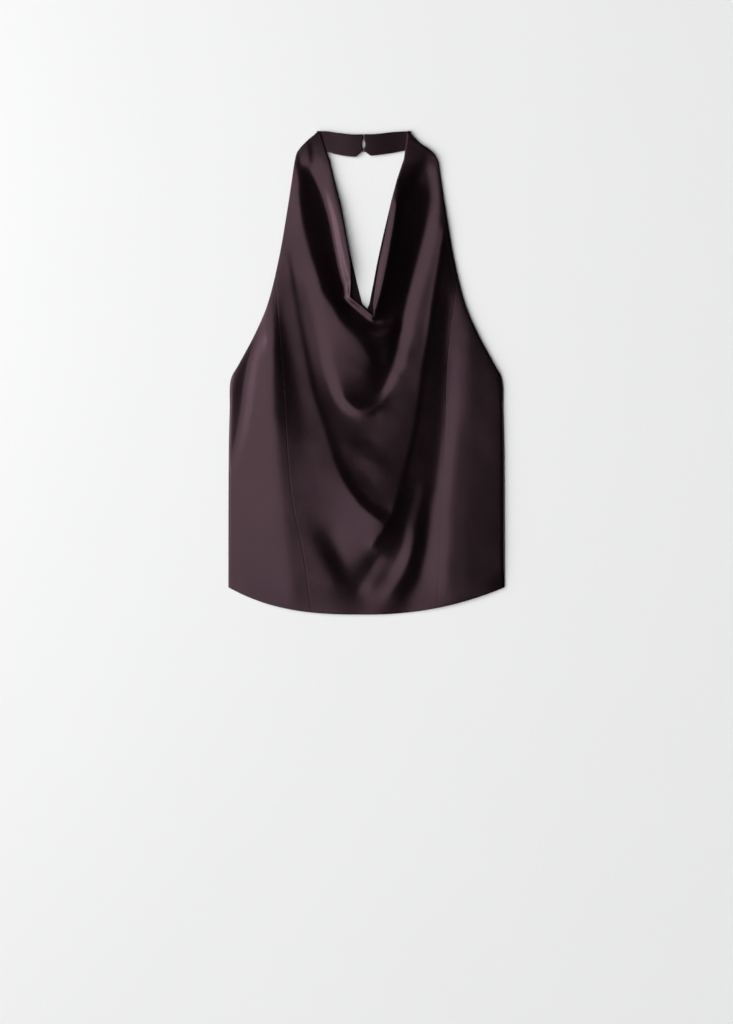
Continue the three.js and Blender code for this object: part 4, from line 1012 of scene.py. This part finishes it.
def satin_material(name, dye, metallic, roughness):
    """Polyester satin: long floats across the cloth over a fine warp, with slightly uneven dye."""
    finish = Finish(name)
    floats = finish.noise(420, 2.0, 0.5, (0.28, 1, 1))
    cloud = finish.noise(16, 2.0)
    slub = finish.noise(150, 2.0, 0.6, (0.06, 1, 1))
    warp = finish.wave(430, "X", 0.6)
    shown = 0.5 * floats + 0.3 * cloud + 0.2 * slub
    dyed = finish.tint(shown, shade(dye, 0.8), shade(dye, 1.22))
    uneven = roughness - 0.05 + 0.06 * floats + 0.04 * slub
    height = 0.6 * floats + 0.25 * warp + 0.4 * slub
    return finish.surface(
        Base_Color=dyed, Roughness=uneven, Metallic=metallic,
        Normal=finish.relief(height, 0.00003))


def thread_material(name, dye):
    """Spun thread: matte, with a twist."""
    finish = Finish(name)
    fuzz = finish.noise(900, 2.0)
    twist = finish.wave(900, "DIAGONAL", 0.4)
    dyed = finish.tint(0.6 * fuzz + 0.4 * twist, shade(dye, 0.7), shade(dye, 1.3))
    return finish.surface(
        Base_Color=dyed, Roughness=0.62 + 0.12 * fuzz,
        Normal=finish.relief(0.7 * twist + 0.3 * fuzz, 0.00012))


def floor_material(paint):
    finish = Finish("Studio floor")
    grain = finish.noise(6, 2.0)
    painted = finish.tint(grain, shade(paint, 0.995), shade(paint, 1.005))
    return finish.surface(Base_Color=painted, Roughness=0.9)


# ---------------------------------------------------------------- settings

def length(name, description, default):
    return bpy.props.FloatProperty(name=name, description=description, default=default,
                                   unit="LENGTH")


def colour(name, description, default):
    return bpy.props.FloatVectorProperty(name=name, description=description, default=default,
                                         subtype="COLOR", size=4, min=0, max=1)


class CowlTopSizes(bpy.types.PropertyGroup):
    """Sizes of the top and of its sewing."""

    fullness: bpy.props.FloatProperty(
        name="Fullness", description="Height of the folds as a share of the patterned ones",
        default=1.0, min=0.5, max=2)
    seed: bpy.props.IntProperty(
        name="Unevenness seed", description="Picks another set of slight ripples", default=7)
    stitch_pitch: length("Stitch pitch", "Distance from one hem stitch to the next", 0.0026)
    stitch_length: length("Stitch length", "Length of a hem stitch that shows", 0.0019)
    thread_width: length("Thread width", "Thickness of the sewing thread", 0.0003)
    camera_height: length("Camera height", "Height of the camera above the floor", 3.506)


class CowlTopColours(bpy.types.PropertyGroup):
    """Colours of the cloth, the thread and the floor."""

    satin: colour("Satin", "Face of the satin", (0.034, 0.0195, 0.0245, 1))
    # The reverse is duller, which its higher roughness gives. Its much darker colour is painted
    # shade for the shadow on the facing under the neckline roll.
    reverse: colour("Satin reverse painted shade", "Duller side, seen on the facing", (0.012, 0.007, 0.009, 1))
    thread: colour("Thread", "Sewing thread and loops", (0.016, 0.008, 0.010, 1))
    floor: colour("Floor", "Studio floor", (0.90, 0.90, 0.90, 1))


def sizes():
    return bpy.context.scene.cowl_top_sizes


def colours():
    return bpy.context.scene.cowl_top_colours


def named_material(name, make):
    found = bpy.data.materials.get(name)
    return found if found else make()


def satin():
    dye = tuple(colours().satin)
    return named_material("Satin", lambda: satin_material("Satin", dye, 0.96, 0.24))


# Painted shade: the facing's satin takes the reverse colour, about a third of the face's, to stand
# for the shadow it lies in under the neckline.
def reverse_satin_painted_shade():
    dye = tuple(colours().reverse)
    return named_material("Satin reverse painted shade",
                          lambda: satin_material("Satin reverse painted shade", dye, 0.96, 0.5))


def thread():
    dye = tuple(colours().thread)
    return named_material("Thread", lambda: thread_material("Thread", dye))


# ---------------------------------------------------------------- operators

class COWLTOP_OT_front(bpy.types.Operator):
    """Adds the front: the draped middle piece and the two side pieces"""

    bl_idname = "cowltop.front"
    bl_label = "Front"

    def execute(self, context):
        front = Front(sizes())
        level = HEM_Y + STITCH_INSET
        seams = [float(look_up(LEFT_SEAM, level)), float(look_up(RIGHT_SEAM, level))]
        middle = linked("front_center_cloth", front.middle_piece().mesh("front_center"), satin())
        thicken(middle, LAYER)
        finish_piece(middle, ["front_center"])
        rows = [front.hem_row(seams[0] + STITCH_SEAM_GAP, seams[1] - STITCH_SEAM_GAP)]
        rows += [front.armhole_row(side, SEAM_TOP_Y + 5, SHOULDER_Y - 4) for side in (-1, 1)]
        sewn("front_center_stitches", rows)
        for side, word in SIDES:
            mesh = front.side_piece(side).mesh(f"side_front_{word}")
            piece = linked(f"side_front_{word}_cloth", mesh, satin())
            thicken(piece, LAYER)
            finish_piece(piece, [f"side_front_{word}"])
            seam = seams[0] if side < 0 else seams[1]
            rows = [front.hem_row(seam + STITCH_SEAM_GAP * side, side * (HALF_BODY - STITCH_INSET))]
            rows.append(front.armhole_row(side, UNDERARM_Y + 5, SEAM_TOP_Y - 5))
            sewn(f"side_front_{word}_stitches", rows)
        return {"FINISHED"}


class COWLTOP_OT_back(bpy.types.Operator):
    """Adds the low back panel, which lies lowest"""

    bl_idname = "cowltop.back"
    bl_label = "Back"

    def execute(self, context):
        share = np.concatenate([[0, 0.0008, 0.002, 0.004, 0.008], np.linspace(0.012, 1, 84)])
        y = HEM_Y + (UNDERARM_Y - HEM_Y) * share
        edge = outline_at(y) - BACK_INSET
        half = 1 - np.append(EDGE_STEPS, 4) / HALF_BODY
        across = np.concatenate([-half, np.linspace(-0.96, 0.96, 93), half[::-1]])
        x = across[None, :] * edge[:, None]
        rows = np.broadcast_to(y[:, None], x.shape)
        top = UNDERARM_Y - BACK_TOP_DIP * (1 - (np.abs(x) / HALF_BODY) ** 2)
        lift = (BACK_HEM_UP * (1 - share))[:, None]
        dip = (top - UNDERARM_Y) * (share ** 3)[:, None]
        placed = with_hem(x, rows) + lift + dip
        inside = np.minimum((1 - np.abs(across))[None, :] * edge[:, None],
                            np.minimum(rows - HEM_Y, (UNDERARM_Y - rows)))
        grid = np.stack([x, placed], -1)
        shell = pillow(grid, 0.04, 1.16, np.maximum(inside, 0), EDGE_ROUNDING)
        piece = linked("back_cloth", shell.mesh("back"), satin())
        finish_piece(piece, ["back"])
        return {"FINISHED"}


class COWLTOP_OT_neckband(bpy.types.Operator):
    """Adds the two halves of the neckband, which meet at the closure"""

    bl_idname = "cowltop.neckband"
    bl_label = "Neckband"

    def execute(self, context):
        for side, word in SIDES:
            piece = linked(f"neckband_{word}_cloth", band_shell(side).mesh(f"neckband_{word}"),
                           satin())
            finish_piece(piece, [f"neckband_{word}"])
        return {"FINISHED"}


def band_shell(side):
    """Half of the neckband, from its shaped end at the closure to under the shoulder."""
    tops = BAND_LEFT_TOP if side < 0 else BAND_RIGHT_TOP
    bottoms = BAND_LEFT_BOTTOM if side < 0 else BAND_RIGHT_BOTTOM
    near = np.array([0, 0.01, 0.025, 0.045, 0.07, 0.1])
    across = np.unique(np.concatenate([near, np.linspace(0.1, 0.9, 29), 1 - near,
                                       [row[0] for row in BAND_END]]))
    ends = np.array([0, 0.003, 0.007, 0.013, 0.02])
    share = np.concatenate([ends, np.linspace(0.03, 0.97, 58), 1 - ends[::-1]])
    gap = straight_look_up(BAND_END, across)[:, None]
    out = gap + (BAND_REACH + BAND_LEAN * (1 - across[:, None]) * share[None, :] - gap) * share
    top = look_up(tops, out)
    bottom = look_up(bottoms, out)
    x = CLOSURE_X + side * out
    y = bottom + (top - bottom) * across[:, None]
    from_end = np.minimum(out - gap, BAND_REACH + BAND_LEAN * (1 - across[:, None]) - out)
    from_edge = np.minimum(across[:, None], 1 - across[:, None]) * (top - bottom)
    edges = np.maximum(np.minimum(from_end, from_edge), 0)
    level = ease((np.abs(x - CLOSURE_X) - LIFT_INNER) / (LIFT_OUTER - LIFT_INNER))
    base = CLOSURE_LIFT + (SHOULDER_LIFT - CLOSURE_LIFT) * level
    grid = np.stack([x, y], -1)
    if side < 0:
        grid, edges, base = (each[:, ::-1] for each in (grid, edges, base))
    return pillow(grid, base + 0.03, base + 1.17, edges, 1.1)


class COWLTOP_OT_facing(bpy.types.Operator):
    """Adds the facing of the neckline, which lies under the front"""

    bl_idname = "cowltop.facing"
    bl_label = "Neck facing"

    def execute(self, context):
        cloth = Patches()
        for side in (-1, 1):
            opening = LEFT_OPENING if side < 0 else RIGHT_OPENING
            y = np.linspace(FACING_POINT[1], FACING_TOP_Y, 100)
            inner = straight_look_up(opening, y)
            near = np.array([0, 0.02, 0.05, 0.09, 0.15])
            across = np.concatenate([near, np.linspace(0.2, 0.85, 6), 1 - near[::-1]])
            x = inner[:, None] + side * FACING_WIDTH * across[None, :]
            rows = np.broadcast_to(y[:, None], x.shape)
            low = FACING_POINT[1] - 2 * FACING_WIDTH
            foot_x = FACING_POINT[0] + side * FACING_WIDTH / 2 * across
            foot_y = low + FACING_WIDTH / 2 * across
            blend = np.linspace(0, 1, FACING_FOOT_ROWS + 1)[:-1, None]
            lower_x = foot_x[None, :] * (1 - blend) + x[0][None, :] * blend
            lower_y = foot_y[None, :] * (1 - blend) + rows[0][None, :] * blend
            x = np.vstack([lower_x, x])
            rows = np.vstack([lower_y, rows])
            distance = np.minimum(across, 1 - across) * FACING_WIDTH
            edges = np.broadcast_to(distance[None, :], x.shape).copy()
            foot = edges[:FACING_FOOT_ROWS]
            foot[:] = np.where(across[None, :] < 0.5, 2, foot)
            edges[[0, -1]] = 0
            share = np.clip(edges / EDGE_ROUNDING, 0, 1)
            swell = FACING_HALF_WALL * np.sqrt(1 - (1 - share) ** 2)
            rise = ease((rows - FACING_LIFT_Y) / (FACING_TOP_Y - FACING_LIFT_Y))
            middle = FACING_MIDDLE + FACING_LIFT * rise * (1 - FACING_TILT * across[None, :])
            for way in (1, -1):
                grid = np.stack([x, rows, middle + way * swell], -1)
                cloth.add(grid[:, ::-1] if side < 0 else grid, flip=way < 0)
        # The facing is drawn in the satin whose darker colour is painted shade.
        piece = linked("neck_facing_cloth", cloth.mesh("neck_facing"), reverse_satin_painted_shade())
        finish_piece(piece, ["neck_facing"])
        return {"FINISHED"}


class COWLTOP_OT_closures(bpy.types.Operator):
    """Adds the two covered buttons and the thread loops that hold them"""

    bl_idname = "cowltop.closures"
    bl_label = "Buttons and loops"

    def execute(self, context):
        for word, y in CLOSURES:
            button = linked(f"button_{word}_cover", button_mesh(y), satin())
            finish_piece(button, [f"button_{word}"])
            loop = linked(f"loop_{word}_thread", loop_mesh(y), thread())
            finish_piece(loop, [f"loop_{word}"])
        return {"FINISHED"}


def revolved(profile, sides, centre):
    """Closed solid turned about an upright line. profile runs from the bottom middle to the top
    middle as radius and height."""
    turn = np.linspace(0, 2 * math.pi, sides + 1)
    table = np.asarray(profile, float)
    x = centre[0] + table[:, :1] * np.cos(turn)[None, :]
    y = centre[1] + table[:, :1] * np.sin(turn)[None, :]
    z = np.broadcast_to(table[:, 1:], x.shape)
    cloth = Patches()
    cloth.add(np.stack([x, y, z], -1))
    return cloth


def button_mesh(y):
    """Domed head, face down, a pinched rim where the cover is drawn in, and a shank."""
    angles = np.linspace(0, math.pi / 2, 9)
    dome = [(BUTTON_RADIUS * math.sin(a) ** 0.8, 1.3 - 1.28 * math.cos(a)) for a in angles]
    drawn = [(3.5, 1.55), (3.2, 1.85), (2.7, 2.02), (2.1, 1.98), (1.7, 2.06), (1.3, 2.2)]
    shank = [(1.18, 2.4), (1.1, 2.7), (1.12, 3.1), (1.18, 3.42), (0.8, 3.48), (0, 3.49)]
    return revolved(dome + drawn + shank, 40, (CLOSURE_X + BUTTON_OFFSET, y)).mesh("button")


def loop_mesh(y):
    """Thread loop: a closed ring with two straight strands."""
    radius = LOOP_THREAD / 2 * 0.86
    turn = SHANK_RADIUS + SEAM_GAP + LOOP_THREAD / 2
    reach = BUTTON_OFFSET + SHANK_RADIUS + SEAM_GAP + LOOP_THREAD
    length = LOOP_TUCK + reach
    half = (length - 2 * turn) / 2
    middle = CLOSURE_X + reach - length / 2
    height = CLOSURE_LIFT - SEAM_GAP - LOOP_THREAD / 2
    straight = np.linspace(-1, 1, 25)[1:-1]
    bend = np.linspace(-math.pi / 2, math.pi / 2, 15)
    right = np.stack([half + turn * np.cos(bend), turn * np.sin(bend)], -1)
    over = np.stack([-straight * half, np.full(len(straight), turn)], -1)
    ring = np.vstack([right, over, -right, -over])
    following = np.roll(ring, -1, 0) - np.roll(ring, 1, 0)
    following /= np.linalg.norm(following, axis=1)[:, None]
    outward = np.stack([following[:, 1], -following[:, 0]], -1)
    section = np.linspace(0, 2 * math.pi, 11)
    grid = np.zeros((len(ring) + 1, len(section), 3))
    for index in range(len(ring) + 1):
        place = index % len(ring)
        grid[index, :, 0] = middle + ring[place, 0] + radius * np.cos(section) * outward[place, 0]
        grid[index, :, 1] = y + ring[place, 1] + radius * np.cos(section) * outward[place, 1]
        grid[index, :, 2] = height + radius * np.sin(section)
    cloth = Patches()
    cloth.add(grid, flip=True)
    return cloth.mesh("loop")


FLOOR_REACH = 12.0
FLOOR_LEVEL = -0.00005
CAMERA_Y = -0.2016  # the camera stands a little below the garment's middle


class COWLTOP_OT_stage(bpy.types.Operator):
    """Adds the floor, the lights and the camera"""

    bl_idname = "cowltop.stage"
    bl_label = "Stage"

    def execute(self, context):
        mesh = bpy.data.meshes.new("Studio floor")
        corners = ((-1, -1), (1, -1), (1, 1), (-1, 1))
        mesh.from_pydata([(FLOOR_REACH * x, FLOOR_REACH * y, FLOOR_LEVEL) for x, y in corners],
                         [], [(0, 1, 2, 3)])
        floor = linked("Studio_floor", mesh, floor_material(tuple(colours().floor)))
        add_sun("Soft sun", (-0.67, -0.16, 0.73), 85, 3.4)
        add_area("Near window", (-1.9, 0.3, 1.2), (0, 0, 0), 1.2, 14)
        world = context.scene.world or bpy.data.worlds.new("Studio")
        context.scene.world = world
        world.use_nodes = True
        background = world.node_tree.nodes["Background"]
        background.inputs["Color"].default_value = (0.9, 0.95, 1, 1)
        background.inputs["Strength"].default_value = 0.04
        camera = bpy.data.cameras.new("Camera")
        camera.lens = 85
        camera.sensor_width = 36
        camera.clip_end = 50
        holder = bpy.data.objects.new("Camera", camera)
        holder.location = (0, CAMERA_Y, sizes().camera_height)
        context.scene.collection.objects.link(holder)
        context.scene.camera = holder
        context.scene.view_settings.view_transform = "Standard"
        return {"FINISHED"}


def add_sun(name, towards, spread, strength):
    """A sun that shines from a direction."""
    lamp = bpy.data.lights.new(name, "SUN")
    lamp.energy = strength
    lamp.angle = math.radians(spread)
    holder = bpy.data.objects.new(name, lamp)
    aim(holder, np.array(towards, float), np.zeros(3))
    bpy.context.scene.collection.objects.link(holder)


def add_area(name, place, target, size, power):
    lamp = bpy.data.lights.new(name, "AREA")
    lamp.shape = "SQUARE"
    lamp.size = size
    lamp.energy = power
    holder = bpy.data.objects.new(name, lamp)
    aim(holder, np.array(place, float), np.array(target, float))
    bpy.context.scene.collection.objects.link(holder)


def aim(holder, place, target):
    holder.location = place
    holder.rotation_mode = "QUATERNION"
    holder.rotation_quaternion = Vector(place - target).to_track_quat("Z", "Y")


class COWLTOP_PT_panel(bpy.types.Panel):
    """Lists the pieces of the top"""

    bl_idname = "COWLTOP_PT_panel"
    bl_label = "Cowl neck top"
    bl_space_type = "VIEW_3D"
    bl_region_type = "UI"
    bl_category = "Cowl top"

    def draw(self, context):
        layout = self.layout
        for group in (context.scene.cowl_top_sizes, context.scene.cowl_top_colours):
            for name in group.__annotations__:
                layout.prop(group, name)
        for operator in OPERATORS:
            layout.operator(operator.bl_idname)


OPERATORS = (COWLTOP_OT_stage, COWLTOP_OT_back, COWLTOP_OT_front, COWLTOP_OT_facing,
             COWLTOP_OT_neckband, COWLTOP_OT_closures)
CLASSES = (CowlTopSizes, CowlTopColours, *OPERATORS, COWLTOP_PT_panel)


def register():
    for each in CLASSES:
        bpy.utils.register_class(each)
    bpy.types.Scene.cowl_top_sizes = bpy.props.PointerProperty(type=CowlTopSizes)
    bpy.types.Scene.cowl_top_colours = bpy.props.PointerProperty(type=CowlTopColours)


def unregister():
    del bpy.types.Scene.cowl_top_sizes
    del bpy.types.Scene.cowl_top_colours
    for each in reversed(CLASSES):
        bpy.utils.unregister_class(each)


def main():
    register()
    bpy.ops.cowltop.stage()
    bpy.ops.cowltop.back()
    bpy.ops.cowltop.front()
    bpy.ops.cowltop.facing()
    bpy.ops.cowltop.closures()
    bpy.ops.cowltop.neckband()


if __name__ == "__main__":
    main()
